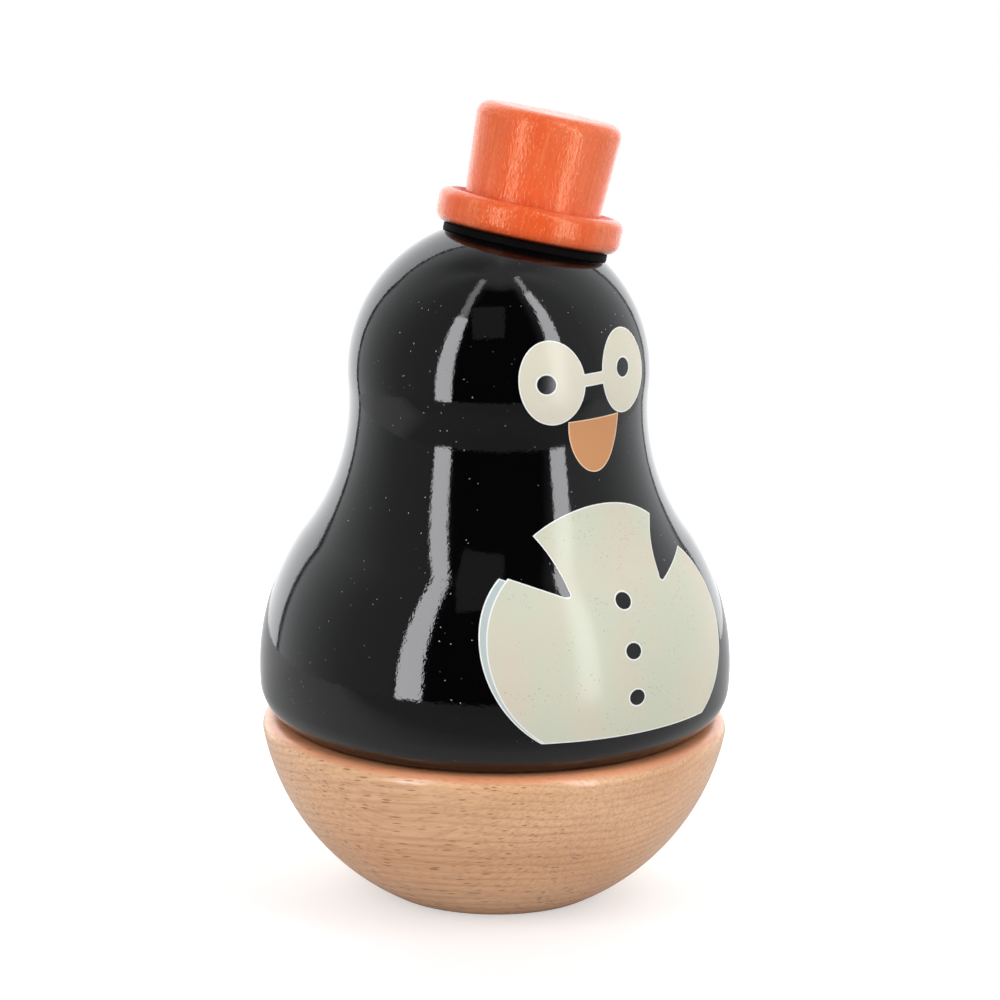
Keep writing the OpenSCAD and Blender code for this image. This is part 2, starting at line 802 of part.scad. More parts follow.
// Turned penguin, hollow below, with a flat and a dowel hole for the hat
module penguin_body() {
    color(black_lacquer)
        difference() {
            rotate_extrude()
                penguin_section();
            translate([0, 0, body_z - past])
                cylinder(r = belly_bore_r, h = step_z - body_z + past);
            translate([0, 0, body_z])
                cylinder(r = pocket_r, h = ceiling_z - body_z);
            translate([0, 0, body_z])
                cylinder(r = arbor_room_r, h = arbor_top + past - body_z);
            for (angle = driver_screw_angles)
                rotate([0, 0, angle])
                    translate([driver_screw_circle, 0, ceiling_z - past])
                        cylinder(r = wood_screw_r + fixed_clear, h = wood_screw_len);
            on_hat_axis() {
                translate([0, 0, hat_seat])
                    cylinder(r = head_r, h = head_r);
                translate([0, 0, hat_seat - dowel_reach - fixed_clear])
                    cylinder(r = dowel_r + fixed_clear, h = dowel_reach + past);
            }
        }
}

// Black disc between the head's flat and the brim
module seat_disc() {
    color(black_lacquer)
        on_hat_axis()
            translate([0, 0, hat_seat])
                difference() {
                    cylinder(r = seat_disc_r, h = seat_disc_t);
                    translate([0, 0, -past])
                        cylinder(r = dowel_r + fixed_clear, h = seat_disc_t + 2 * past);
                }
}

// Turned hat: a thick round-edged brim and a crown that widens a little upwards
module top_hat() {
    edge_x = brim_r - brim_round;
    deck = brim_t - brim_dip;
    shoulder = [crown_top_r - crown_round, brim_t + crown_h - crown_round];
    color(orange_stain)
        on_hat_axis()
            translate([0, 0, hat_seat + seat_disc_t])
                difference() {
                    rotate_extrude() {
                        polygon([[0, 0], [edge_x, 0], [edge_x, brim_t], [crown_foot_r, deck], [0, deck]]);
                        translate([edge_x, brim_round])
                            square([brim_round, brim_t - 2 * brim_round]);
                        for (z = [brim_round, brim_t - brim_round])
                            intersection() {
                                translate([edge_x, z])
                                    circle(brim_round);
                                translate([edge_x, 0])
                                    square([brim_r, brim_t]);
                            }
                        polygon([
                            [0, deck - past], [crown_foot_r, deck - past], [crown_foot_r, deck],
                            [crown_top_r, shoulder.y], [0, shoulder.y]
                        ]);
                        translate([0, shoulder.y])
                            square([shoulder.x, crown_round]);
                        intersection() {
                            translate(shoulder)
                                circle(crown_round);
                            translate(shoulder)
                                square(crown_round);
                        }
                    }
                    translate([0, 0, -past])
                        cylinder(
                            r = dowel_r + fixed_clear, h = dowel_reach - seat_disc_t + past + fixed_clear
                        );
                }
}

// Beech dowel through the seat disc, between the head and the hat
module hat_dowel() {
    color(beech)
        on_hat_axis()
            translate([0, 0, hat_seat - dowel_reach])
                cylinder(r = dowel_r, h = 2 * dowel_reach);
}

// Plywood driver screwed under the ceiling of the penguin's hollow
module driver_disc() {
    color(plywood)
        translate([0, 0, driver_z])
            difference() {
                cylinder(r = driver_r, h = driver_t);
                translate([0, 0, -past])
                    cylinder(r = bush_r + fixed_clear, h = driver_t + 2 * past);
                for (angle = driver_screw_angles)
                    rotate([0, 0, angle])
                        translate([driver_screw_circle, 0, -past])
                            cylinder(r = wood_screw_r + fixed_clear, h = driver_t + 2 * past);
            }
}

// Three wood screws that hold the driver
module driver_screws() {
    color(steel)
        for (angle = driver_screw_angles)
            rotate([0, 0, angle])
                translate([driver_screw_circle, 0, driver_z])
                    mirror([0, 0, 1])
                        pan_screw(wood_screw_r, wood_head_r, wood_head_h, wood_screw_len);
}

// Flanged brass bush that screws onto the arbor's end
module threaded_bush() {
    color(brass)
        difference() {
            union() {
                translate([0, 0, driver_z - bush_flange_t])
                    cylinder(r = bush_flange_r, h = bush_flange_t);
                translate([0, 0, driver_z - bush_flange_t])
                    cylinder(r = bush_r, h = driver_t + bush_flange_t);
            }
            translate([0, 0, driver_z - bush_flange_t - past])
                cylinder(r = arbor_r + fixed_clear, h = driver_t + bush_flange_t + 2 * past);
        }
}

// Winding arbor: lower pivot, core for the spring, shaft with the clutch sleeve, and upper end
module winding_arbor() {
    core_low = bed_top + housing_wall + fixed_clear;
    core_high = housing_top - housing_wall - fixed_clear;
    color(steel) {
        translate([0, 0, floor_z + fixed_clear])
            cylinder(r = pivot_r, h = core_low - floor_z);
        translate([0, 0, core_low])
            cylinder(r = arbor_core_r, h = core_high - core_low);
        translate([0, 0, core_high - past])
            cylinder(r = arbor_r, h = arbor_top - core_high + past);
        translate([0, 0, crown_top_z + fixed_clear])
            cylinder(r = sleeve_r, h = sleeve_top - crown_top_z);
    }
}

// Angle of a note's pin, spread so that neighbours never sound as one row
function pin_angle(note, beat) =
    360 * beat / pins_per_note + note * pin_step + (note * note * pin_spread) % pin_span;

// Cylinder with its pins
module pinned_cylinder() {
    sunk = drum_r / 8;
    color(brass)
        difference() {
            translate([drum_x, 0, axis_z])
                along_x()
                    union() {
                        cylinder(r = drum_r, h = drum_len);
                        for (note = [0 : notes - 1], beat = [0 : pins_per_note - 1])
                            rotate([0, 0, pin_angle(note, beat)])
                                translate([drum_r - sunk, 0, comb_x - drum_x + (note + 0.5) * note_pitch])
                                    rotate([0, 90, 0])
                                        cylinder(r = pin_r, h = pin_h + sunk, $fn = 6);
                    }
            translate([drum_x - past, 0, axis_z])
                along_x()
                    cylinder(r = drum_arbor_r + fixed_clear, h = drum_len + 2 * past);
        }
}

// Arbor of the cylinder, from the crown wheel to the outer post
module cylinder_arbor() {
    color(steel)
        translate([pinion_x, 0, axis_z])
            along_x()
                cylinder(r = drum_arbor_r, h = drum_arbor_end - pinion_x);
}

// Pinion under the crown wheel
module cylinder_pinion() {
    color(steel)
        spur_gear(crown_pinion_teeth, crown_module, 90 + 180 / crown_pinion_teeth, tooth_fill,
            pinion_x, 0, crown_pinion_w, drum_arbor_r + fixed_clear);
}

// Wheel on the cylinder's outer end
module cylinder_wheel() {
    color(brass)
        spur_gear(cylinder_teeth, train_module, 180, tooth_fill,
            wheel_x, 0, train_face, drum_arbor_r + fixed_clear);
}

// Arbor of the governor's pinion and worm wheel
module governor_arbor() {
    color(steel)
        translate([inner_cheek_x, governor_y, axis_z])
            along_x()
                cylinder(r = governor_arbor_r, h = governor_pinion_x + governor_pinion_w - inner_cheek_x);
}

// Pinion driven by the cylinder's wheel
module governor_pinion() {
    color(steel)
        spur_gear(governor_teeth, train_module, 180 / governor_teeth, tooth_fill,
            governor_pinion_x, governor_y, governor_pinion_w, governor_arbor_r + fixed_clear);
}

// Wheel that turns the worm
module worm_wheel() {
    color(nylon)
        spur_gear(worm_teeth, worm_module, 180, worm_wheel_fill,
            worm_x - worm_wheel_w / 2, governor_y, worm_wheel_w, governor_arbor_r + fixed_clear);
}

// Worm: a round thread wound on the air brake's arbor
module governor_worm() {
    tall = worm_module * (addendum + dedendum);
    color(steel)
        translate([worm_x, worm_y, axis_z - worm_len / 2])
            difference() {
                linear_extrude(worm_len, twist = -360 * worm_turns, slices = worm_steps * worm_turns,
                    $fn = worm_sides)
                    translate([0, -tall / 2])
                        circle(worm_r + worm_module * addendum - tall / 2);
                translate([0, 0, -past])
                    cylinder(r = fly_arbor_r + fixed_clear, h = worm_len + 2 * past);
            }
}

// Upright arbor of the worm and the air brake
module fly_arbor() {
    low = bed_top + frame_t / 4 + fixed_clear;
    color(steel)
        translate([worm_x, worm_y, low])
            cylinder(r = fly_arbor_r, h = bridge_z + frame_t - low);
}

// Air brake: two wings on a hub that slow the cylinder down
module air_brake() {
    hub_r = fly_arbor_r + hub_wall;
    color(nylon)
        translate([worm_x, worm_y, wing_z])
            difference() {
                union() {
                    cylinder(r = hub_r, h = wing_h);
                    translate([-wing_reach, -wing_t / 2, 0])
                        cube([2 * wing_reach, wing_t, wing_h]);
                }
                translate([0, 0, -past])
                    cylinder(r = fly_arbor_r + fixed_clear, h = wing_h + 2 * past);
            }
}

base_bowl();
glide_washer();
bedplate();
bedplate_screws();
spring_housing();
spring_cover();
mainspring();
comb();
comb_screws();
governor_frame();
governor_screws();
drive_wheel();
clutch_spring();
penguin_body();
seat_disc();
top_hat();
hat_dowel();
driver_disc();
driver_screws();
threaded_bush();
winding_arbor();
pinned_cylinder();
cylinder_arbor();
cylinder_pinion();
cylinder_wheel();
governor_arbor();
governor_pinion();
worm_wheel();
governor_worm();
fly_arbor();
air_brake();
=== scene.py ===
"""Looks of the wooden penguin music box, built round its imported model.

The turned pieces that show (base, figure, disc and hat) are spun again as fine meshes of the same arcs.
The prints on the lacquer are thin films laid on the figure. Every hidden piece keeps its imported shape.
Sizes are in millimetres and become metres where a mesh is drawn. The penguin faces -Y, with +Z up.
"""

import json
import logging
import math
from dataclasses import dataclass
from enum import Enum
from typing import Any, Sequence

import bmesh
import bpy
from bmesh.types import BMEdge, BMesh, BMFace, BMVert
from mathutils import Matrix, Vector


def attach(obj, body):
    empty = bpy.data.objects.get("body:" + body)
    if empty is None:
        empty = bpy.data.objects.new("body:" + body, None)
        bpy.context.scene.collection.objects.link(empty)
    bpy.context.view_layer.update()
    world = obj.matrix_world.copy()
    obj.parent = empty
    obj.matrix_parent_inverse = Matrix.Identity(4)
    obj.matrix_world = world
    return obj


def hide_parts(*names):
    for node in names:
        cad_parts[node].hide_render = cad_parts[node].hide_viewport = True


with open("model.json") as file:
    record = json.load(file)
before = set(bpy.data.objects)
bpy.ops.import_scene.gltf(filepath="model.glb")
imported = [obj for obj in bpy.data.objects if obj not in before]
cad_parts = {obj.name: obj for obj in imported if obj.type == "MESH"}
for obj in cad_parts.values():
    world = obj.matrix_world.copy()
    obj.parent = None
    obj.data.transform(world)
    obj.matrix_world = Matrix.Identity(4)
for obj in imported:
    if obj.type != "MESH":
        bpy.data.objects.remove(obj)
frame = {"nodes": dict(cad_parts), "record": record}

LOG = logging.getLogger("music_box")
MM = 0.001
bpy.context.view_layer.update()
FULL_TURN = 2 * math.pi

# Distances in metres within which points are one: of a spun mesh, at a cut and at a mirror
WELD = 2e-7
CUT_NEAR = 1e-7
MIRROR_NEAR = 1e-6

# Sizes that the hat's stain shares with the figure and the hat
HEAD_Z = 103.75
HAT_TILT = 15.6
HAT_TURN = 7
HAT_SEAT = 24.4
DISC_T = 1.5
BRIM_T = 6.3
CROWN_H = 18.3

Point = tuple[float, float]
Triple = tuple[float, float, float]
Colour = Triple

UPRIGHT: Triple = (0, 0, 0)


def srgb(red: int, green: int, blue: int) -> Colour:
    """Turn a colour as a screen shows it into the linear one that shaders take.

    Args:
        red: Red from 0 to 255.
        green: Green from 0 to 255.
        blue: Blue from 0 to 255.

    Returns:
        The linear colour, each part from 0 to 1.
    """

    def linear(level: int) -> float:
        """Give the linear value of one level."""
        share = level / 255
        return share / 12.92 if share <= 0.04045 else ((share + 0.055) / 1.055) ** 2.4

    return linear(red), linear(green), linear(blue)


class Body(Enum):
    """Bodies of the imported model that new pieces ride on."""

    BASE = "base"
    PENGUIN = "penguin"


class Pen:
    """Draws one chain of lines and arcs in the XZ plane of a bmesh, in millimetres."""

    def __init__(self, x: float, z: float, mesh: BMesh | None = None) -> None:
        """Set the pen down.

        Args:
            x: Place across.
            z: Height.
            mesh: Mesh to draw in, or None for a new one.
        """
        self.mesh = mesh or bmesh.new()
        self.first = self.mesh.verts.new((x * MM, 0, z * MM))
        self.tip = self.first
        self.drawn: list[BMVert | BMEdge] = [self.first]

    def line(self, x: float, z: float) -> "Pen":
        """Draw a straight line to a point.

        Args:
            x: Place across of the line's end.
            z: Height of the line's end.

        Returns:
            The pen.
        """
        end = self.mesh.verts.new((x * MM, 0, z * MM))
        self.drawn += [end, self.mesh.edges.new((self.tip, end))]
        self.tip = end
        return self

    def arc(self, centre: Point, degrees: float, steps: int) -> "Pen":
        """Draw an arc about a centre.

        Args:
            centre: The arc's centre.
            degrees: Angle of the arc, clockwise when seen from the front.
            steps: Straight steps in the arc.

        Returns:
            The pen.
        """
        verts, edges = set(self.mesh.verts), set(self.mesh.edges)
        spun = bmesh.ops.spin(
            self.mesh, geom=[self.tip], cent=(centre[0] * MM, 0, centre[1] * MM), axis=(0, 1, 0),
            dvec=(0, 0, 0), angle=math.radians(degrees), steps=steps, use_merge=False,
            use_normal_flip=False, use_duplicate=False,
        )
        self.tip = next(v for v in spun["geom_last"] if isinstance(v, BMVert))
        self.drawn += [v for v in self.mesh.verts if v not in verts]
        self.drawn += [e for e in self.mesh.edges if e not in edges]
        return self

    def swing(self, end: Point, centre: Point) -> float:
        """Give the angle about a centre from the pen to a point, in radians."""
        x, z = self.tip.co.x / MM - centre[0], self.tip.co.z / MM - centre[1]
        return math.atan2(end[0] - centre[0], end[1] - centre[1]) - math.atan2(x, z)

    def arc_to(self, end: Point, centre: Point, steps: int) -> "Pen":
        """Draw the shorter arc about a centre to a point on the same circle.

        Args:
            end: Where the arc ends.
            centre: The arc's centre.
            steps: Straight steps in the arc.

        Returns:
            The pen.
        """
        turn = (self.swing(end, centre) + math.pi) % FULL_TURN - math.pi
        return self.arc(centre, math.degrees(turn), steps)

    def turn_to(self, end: Point, centre: Point, steps: int) -> "Pen":
        """Draw the arc about a centre that comes to a point against the clock, seen from the front.

        Args:
            end: Where the arc ends.
            centre: The arc's centre.
            steps: Straight steps in the arc.

        Returns:
            The pen.
        """
        return self.arc(centre, math.degrees(self.swing(end, centre) % -FULL_TURN), steps)

    def bow(self, end: Point, depth: float, steps: int) -> "Pen":
        """Draw a shallow arc to a point.

        Args:
            end: Where the arc ends.
            depth: How far the arc bows to the left of its chord.
            steps: Straight steps in the arc.

        Returns:
            The pen.
        """
        start = Vector((self.tip.co.x / MM, self.tip.co.z / MM))
        chord = Vector(end) - start
        radius = (chord.length**2 / 4 + depth**2) / (2 * depth)
        aside = Vector((chord.y, -chord.x)).normalized()
        centre = start + chord / 2 + aside * (radius - depth)
        return self.arc_to(end, (centre.x, centre.y), steps)

    def close(self) -> list[BMEdge]:
        """Join the chain's end to its start and return its edges."""
        self.drawn.append(self.mesh.edges.new((self.tip, self.first)))
        return [e for e in self.drawn if isinstance(e, BMEdge)]

    def spin(self, steps: int) -> None:
        """Turn the chain once round the Z axis.

        Args:
            steps: Steps of the full turn.
        """
        bmesh.ops.spin(
            self.mesh, geom=self.drawn, cent=(0, 0, 0), axis=(0, 0, 1), dvec=(0, 0, 0), angle=FULL_TURN,
            steps=steps, use_merge=True, use_normal_flip=False, use_duplicate=False,
        )


def put(name: str, data: bpy.types.ID) -> bpy.types.Object:
    """Make an object of a mesh, a lamp or a camera, and link it to the scene.

    Args:
        name: Name of the object.
        data: What the object shows.

    Returns:
        The object.
    """
    made = bpy.data.objects.new(name, data)
    bpy.context.scene.collection.objects.link(made)
    return made


def put_mesh(mesh: BMesh, name: str) -> bpy.types.Object:
    """Make an object of a mesh that was drawn.

    Args:
        mesh: The mesh, in metres and in its place. It is freed.
        name: Name of the object.

    Returns:
        The object.
    """
    data = bpy.data.meshes.new(name)
    mesh.to_mesh(data)
    mesh.free()
    return put(name, data)


def finish_mesh(mesh: BMesh, name: str, body: Body, sharp_degrees: float = 32) -> bpy.types.Object:
    """Clean a mesh, shade it and make it a piece that rides on a body.

    Args:
        mesh: The mesh, in metres and in its place. It is freed.
        name: Name of the piece.
        body: Body that the piece rides on.
        sharp_degrees: Angle from which an edge is shaded sharp.

    Returns:
        The piece.
    """
    bmesh.ops.remove_doubles(mesh, verts=mesh.verts, dist=WELD)
    bmesh.ops.recalc_face_normals(mesh, faces=mesh.faces)
    for face in mesh.faces:
        face.smooth = True
    for edge in mesh.edges:
        edge.smooth = edge.calc_face_angle(0) < math.radians(sharp_degrees)
    piece = put_mesh(mesh, name)
    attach(piece, body.value)
    LOG.info("%s: %d faces on %s", name, len(piece.data.polygons), body.value)
    return piece


class Nodes:
    """Node tree of a material or a world, with short ways to add what is often used."""

    def __init__(self, tree: bpy.types.NodeTree) -> None:
        """Take a tree over."""
        self.tree = tree

    def add(self, kind: str, links: dict[str | int, Any] | None = None, **settings: Any) -> Any:
        """Add a node, set it and feed its sockets.

        Args:
            kind: Type of the node, without its ShaderNode prefix.
            links: Sockets with the output or the value that each takes.
            **settings: Properties of the node.

        Returns:
            The node.
        """
        node = self.tree.nodes.new("ShaderNode" + kind)
        for key, value in settings.items():
            setattr(node, key, value)
        for socket, value in (links or {}).items():
            if isinstance(value, bpy.types.NodeSocket):
                self.tree.links.new(value, node.inputs[socket])
            else:
                node.inputs[socket].default_value = value
        return node

    def math(self, operation: str, first: Any, second: Any = 0.0) -> Any:
        """Give the result of one sum on two values or outputs."""
        return self.add("Math", {0: first, 1: second}, operation=operation).outputs[0]

    def ramp(self, value: Any, stops: Sequence[tuple[float, Colour]]) -> Any:
        """Give a colour that follows a value.

        Args:
            value: Output that is followed.
            stops: Places from 0 to 1 and the colour at each, from low to high.

        Returns:
            The colour's output.
        """
        node = self.add("ValToRGB", {"Fac": value})
        elements = node.color_ramp.elements
        while len(elements) < len(stops):
            elements.new(1)
        for element, (at, colour) in zip(elements, stops):
            element.position = at
            element.color = (*colour, 1)
        return node.outputs["Color"]

    def grey(self, value: Any, *stops: Point) -> Any:
        """Give a grey that follows a value, with the place and the grey of each stop."""
        return self.ramp(value, [(at, (level,) * 3) for at, level in stops])

    def mix(self, share: Any, first: Any, second: Any) -> Any:
        """Give a blend of two colours.

        Args:
            share: Share of the second colour, a value or an output.
            first: First colour or output.
            second: Second colour or output.

        Returns:
            The blend's output.
        """
        first, second = (c if isinstance(c, bpy.types.NodeSocket) else (*c, 1) for c in (first, second))
        return self.add("Mix", {0: share, 6: first, 7: second}, data_type="RGBA").outputs[2]


@dataclass(frozen=True)
class Grain:
    """Soft noise, about one hump for each cell.

    Attributes:
        size_mm: Size of a cell along three axes.
        shift: Offset, in cells, that sets this noise apart from others.
        detail: Finer octaves that are added.
        rough: Share that each octave keeps.
    """

    size_mm: Triple
    shift: float = 0
    detail: float = 2
    rough: float = 0.5


@dataclass(frozen=True)
class Marks:
    """Lens-shaped marks in some of the cells.

    Attributes:
        size_mm: Size of a cell along three axes.
        shift: Offset, in cells, that sets these marks apart from others.
        reach: Half size of a mark, in cells.
        share: Share of the cells that hold a mark.
        solid: Share of the half size up to which a mark is full.
    """

    size_mm: Triple
    shift: float
    reach: float
    share: float
    solid: float = 0.55


class Recipe(Nodes):
    """Node tree of one material, with a Principled shader at its end."""

    def __init__(self, name: str, **sockets: Any) -> None:
        """Start the material.

        Args:
            name: Name of the material.
            **sockets: Values for the shader's sockets, with _ for each space.
        """
        self.material = bpy.data.materials.new(name)
        self.material.use_nodes = True
        super().__init__(self.material.node_tree)
        self.shader = next(n for n in self.tree.nodes if n.type == "BSDF_PRINCIPLED")
        for socket, value in sockets.items():
            self.shader.inputs[socket.replace("_", " ")].default_value = value

    def feed(self, socket: str, source: Any) -> None:
        """Link an output to one of the shader's sockets."""
        self.tree.links.new(source, self.shader.inputs[socket])

    def place(
        self, size_mm: Sequence[float], shift: float | Sequence[float] = 0, turn: Triple = UPRIGHT
    ) -> Any:
        """Give object coordinates turned and divided into cells.

        Args:
            size_mm: Size of a cell along the turned axes.
            shift: Offset, in cells, along all three axes or along each.
            turn: Turn about X, Y and Z, in degrees.

        Returns:
            The vector's output.
        """
        coordinate = self.add("TexCoord").outputs["Object"]
        angles = [math.radians(a) for a in turn]
        turned = self.add("Mapping", {"Vector": coordinate, "Rotation": angles}).outputs["Vector"]
        scale = [1 / (s * MM) for s in size_mm]
        offset = [shift] * 3 if isinstance(shift, (int, float)) else shift
        cells = self.add("Mapping", {"Vector": turned, "Scale": scale, "Location": offset})
        return cells.outputs["Vector"]

    def part(self, axis: str, size_mm: float, turn: Triple = UPRIGHT) -> Any:
        """Give the place along one turned axis, divided by a size."""
        return self.add("SeparateXYZ", {"Vector": self.place([size_mm] * 3, 0, turn)}).outputs[axis]

    def noise(self, grain: Grain, turn: Triple = UPRIGHT) -> Any:
        """Give a noise's value.

        Args:
            grain: The noise.
            turn: Turn about X, Y and Z, in degrees.

        Returns:
            The noise, about 0 to 1.
        """
        cells = self.place(grain.size_mm, grain.shift, turn)
        sockets = {"Vector": cells, "Scale": 1, "Detail": grain.detail, "Roughness": grain.rough}
        return self.add("TexNoise", sockets).outputs["Fac"]

    def specks(self, marks: Marks, turn: Triple = UPRIGHT) -> Any:
        """Give the mask of some marks.

        Args:
            marks: The marks.
            turn: Turn about X, Y and Z, in degrees.

        Returns:
            A mask that is 1 on a mark.
        """
        full_to = marks.solid * marks.reach
        place = self.place(marks.size_mm, marks.shift, turn)
        cells = self.add("TexVoronoi", {"Vector": place, "Scale": 1, "Randomness": 1})
        near = self.grey(cells.outputs["Distance"], (full_to, 1), (marks.reach, 0))
        draw = self.add("SeparateColor", {"Color": cells.outputs["Color"]}).outputs[0]
        return self.math("MULTIPLY", near, self.math("LESS_THAN", draw, marks.share))

    def bump(self, height: Any, depth_mm: float, under: Any = None) -> Any:
        """Give a normal that follows a height.

        Args:
            height: Height from 0 to 1.
            depth_mm: Real depth of the relief.
            under: Normal that this relief is laid on, or None.

        Returns:
            The normal's output.
        """
        links = {"Height": height, "Distance": depth_mm * MM, "Strength": 1.0}
        if under is not None:
            links["Normal"] = under
        return self.add("Bump", links).outputs["Normal"]

    def pits(self, marks: Any, depth_mm: float, under: Any) -> Any:
        """Give a normal in which marks are sunk, laid on another normal."""
        return self.bump(self.math("SUBTRACT", 1.0, marks), depth_mm, under)


@dataclass(frozen=True)
class Lacquer:
    """Gloss lacquer with a faint orange peel and dust that was caught in it."""

    name: str = "black_lacquer"
    colour: Colour = srgb(5, 5, 6)
    dust_colour: Colour = srgb(150, 152, 156)
    dust: Marks = Marks((1.5, 1.5, 1.5), 3.7, 0.11, 0.75)
    dust_turn: Triple = (20, 35, 0)
    dust_rough: float = 0.5
    crowd: Grain = Grain((17, 17, 13), 6.1, 3, 0.6)
    haze: Grain = Grain((14, 14, 22), 0, 3)
    gloss: Point = (0.03, 0.065)
    peel: Grain = Grain((1.5, 1.5, 1.5), 0, 3)
    peel_depth_mm: float = 0.012
    grit: Grain = Grain((0.5, 0.5, 0.5), 1.9)
    grit_depth_mm: float = 0.007

    def material(self) -> bpy.types.Material:
        """Build the material.

        Returns:
            The material.
        """
        recipe = Recipe(self.name, IOR=1.5)
        crowd = recipe.grey(recipe.noise(self.crowd), (0.47, 0), (0.58, 1))
        dust = recipe.math("MULTIPLY", recipe.specks(self.dust, self.dust_turn), crowd)
        recipe.feed("Base Color", recipe.mix(dust, self.colour, self.dust_colour))
        gloss = recipe.grey(recipe.noise(self.haze), (0.35, self.gloss[0]), (0.7, self.gloss[1]))
        recipe.feed("Roughness", recipe.mix(dust, gloss, (self.dust_rough,) * 3))
        peel = recipe.bump(recipe.noise(self.peel), self.peel_depth_mm)
        recipe.feed("Normal", recipe.bump(recipe.noise(self.grit), self.grit_depth_mm, peel))
        return recipe.material


@dataclass(frozen=True)
class Beech:
    """Oiled beech: growth lines, short ray flecks and fine fibres along one direction, and a painted
    warm tint of bounced light on the base's top.
    """

    name: str = "beech"
    light: Colour = srgb(240, 193, 147)
    deep: Colour = srgb(225, 172, 126)
    line: Colour = srgb(184, 124, 84)
    fleck: Colour = srgb(140, 84, 52)
    # Painted light: a warmer orange standing in for light bounced inside the shaded gap under the belly,
    # laid on the base's top.
    rim: Colour = srgb(238, 152, 106)
    turn: Triple = (4, 2, 63.5)
    fibre: Grain = Grain((26, 0.5, 0.5), 0, 3, 0.6)
    fibre_depth_mm: float = 0.02
    tone: Grain = Grain((60, 26, 12), 1.3)
    rays: Marks = Marks((5, 1.4, 0.56), 5.1, 0.28, 0.45)
    small_rays: Marks = Marks((2.6, 0.9, 0.34), 9.4, 0.28, 0.5)
    ray_depth_mm: float = 0.03
    pith: Point = (-16, 112)
    line_mm: float = 1.6
    sway_mm: float = 2.4
    sway: Grain = Grain((52, 20, 20), 2.2, 3)
    patch: Grain = Grain((24, 14, 5), 7.7)
    reach_mm: float = 46
    rim_z_mm: float = 34
    gloss: Point = (0.36, 0.52)

    def material(self) -> bpy.types.Material:
        """Build the material.

        Returns:
            The material.
        """
        recipe = Recipe(self.name, IOR=1.5, Coat_Weight=0.5, Coat_Roughness=0.14)
        fibre = recipe.noise(self.fibre, self.turn)
        tone = recipe.noise(self.tone, self.turn)
        wood = recipe.mix(recipe.grey(tone, (0.35, 0), (0.68, 1)), self.light, self.deep)
        wood = recipe.mix(recipe.grey(fibre, (0.42, 0), (0.72, 0.5)), wood, self.line)
        wood = recipe.mix(self.growth(recipe), wood, self.line)
        marks = self.flecks(recipe)
        wood = recipe.mix(recipe.math("MULTIPLY", marks, 0.85), wood, self.fleck)
        # Painted bounce tint: the wood from just under the base's top upwards blends towards the rim
        # colour.
        painted_gap_tint = recipe.grey(recipe.part("Z", self.rim_z_mm), (0.985, 0), (0.999, 0.7))
        recipe.feed("Base Color", recipe.mix(painted_gap_tint, wood, self.rim))
        recipe.feed("Roughness", recipe.grey(fibre, (0.3, self.gloss[0]), (0.8, self.gloss[1])))
        grain = recipe.bump(fibre, self.fibre_depth_mm)
        recipe.feed("Normal", recipe.pits(marks, self.ray_depth_mm, grain))
        return recipe.material

    def flecks(self, recipe: Recipe) -> Any:
        """Give a mask of the short dark rays, large and small ones, that fades on the end grain.

        Args:
            recipe: Recipe that the nodes are added to.

        Returns:
            The mask's output.
        """
        small = recipe.math("MULTIPLY", recipe.specks(self.small_rays, self.turn), 0.6)
        marks = recipe.math("MAXIMUM", recipe.specks(self.rays, self.turn), small)
        along = recipe.math("ABSOLUTE", recipe.part("X", self.reach_mm, self.turn))
        return recipe.math("MULTIPLY", marks, recipe.grey(along, (0.55, 1), (0.85, 0.2)))

    def growth(self, recipe: Recipe) -> Any:
        """Give a mask of the dark late wood of each year.

        Args:
            recipe: Recipe that the nodes are added to.

        Returns:
            The mask's output.
        """
        centre = [0, -self.pith[0] / self.line_mm, -self.pith[1] / self.line_mm]
        across = recipe.place((math.inf, self.line_mm, self.line_mm), centre, self.turn)
        from_pith = recipe.add("VectorMath", {0: across}, operation="LENGTH").outputs["Value"]
        sway = recipe.math("MULTIPLY", recipe.noise(self.sway, self.turn), self.sway_mm / self.line_mm)
        season = recipe.math("FRACT", recipe.math("ADD", from_pith, sway))
        late = recipe.grey(season, (0, 0.2), (0.2, 0), (0.6, 0.05), (0.92, 0.5), (1, 0.2))
        patch = recipe.noise(self.patch, self.turn)
        return recipe.math("MULTIPLY", late, recipe.grey(patch, (0.3, 0.25), (0.65, 1)))


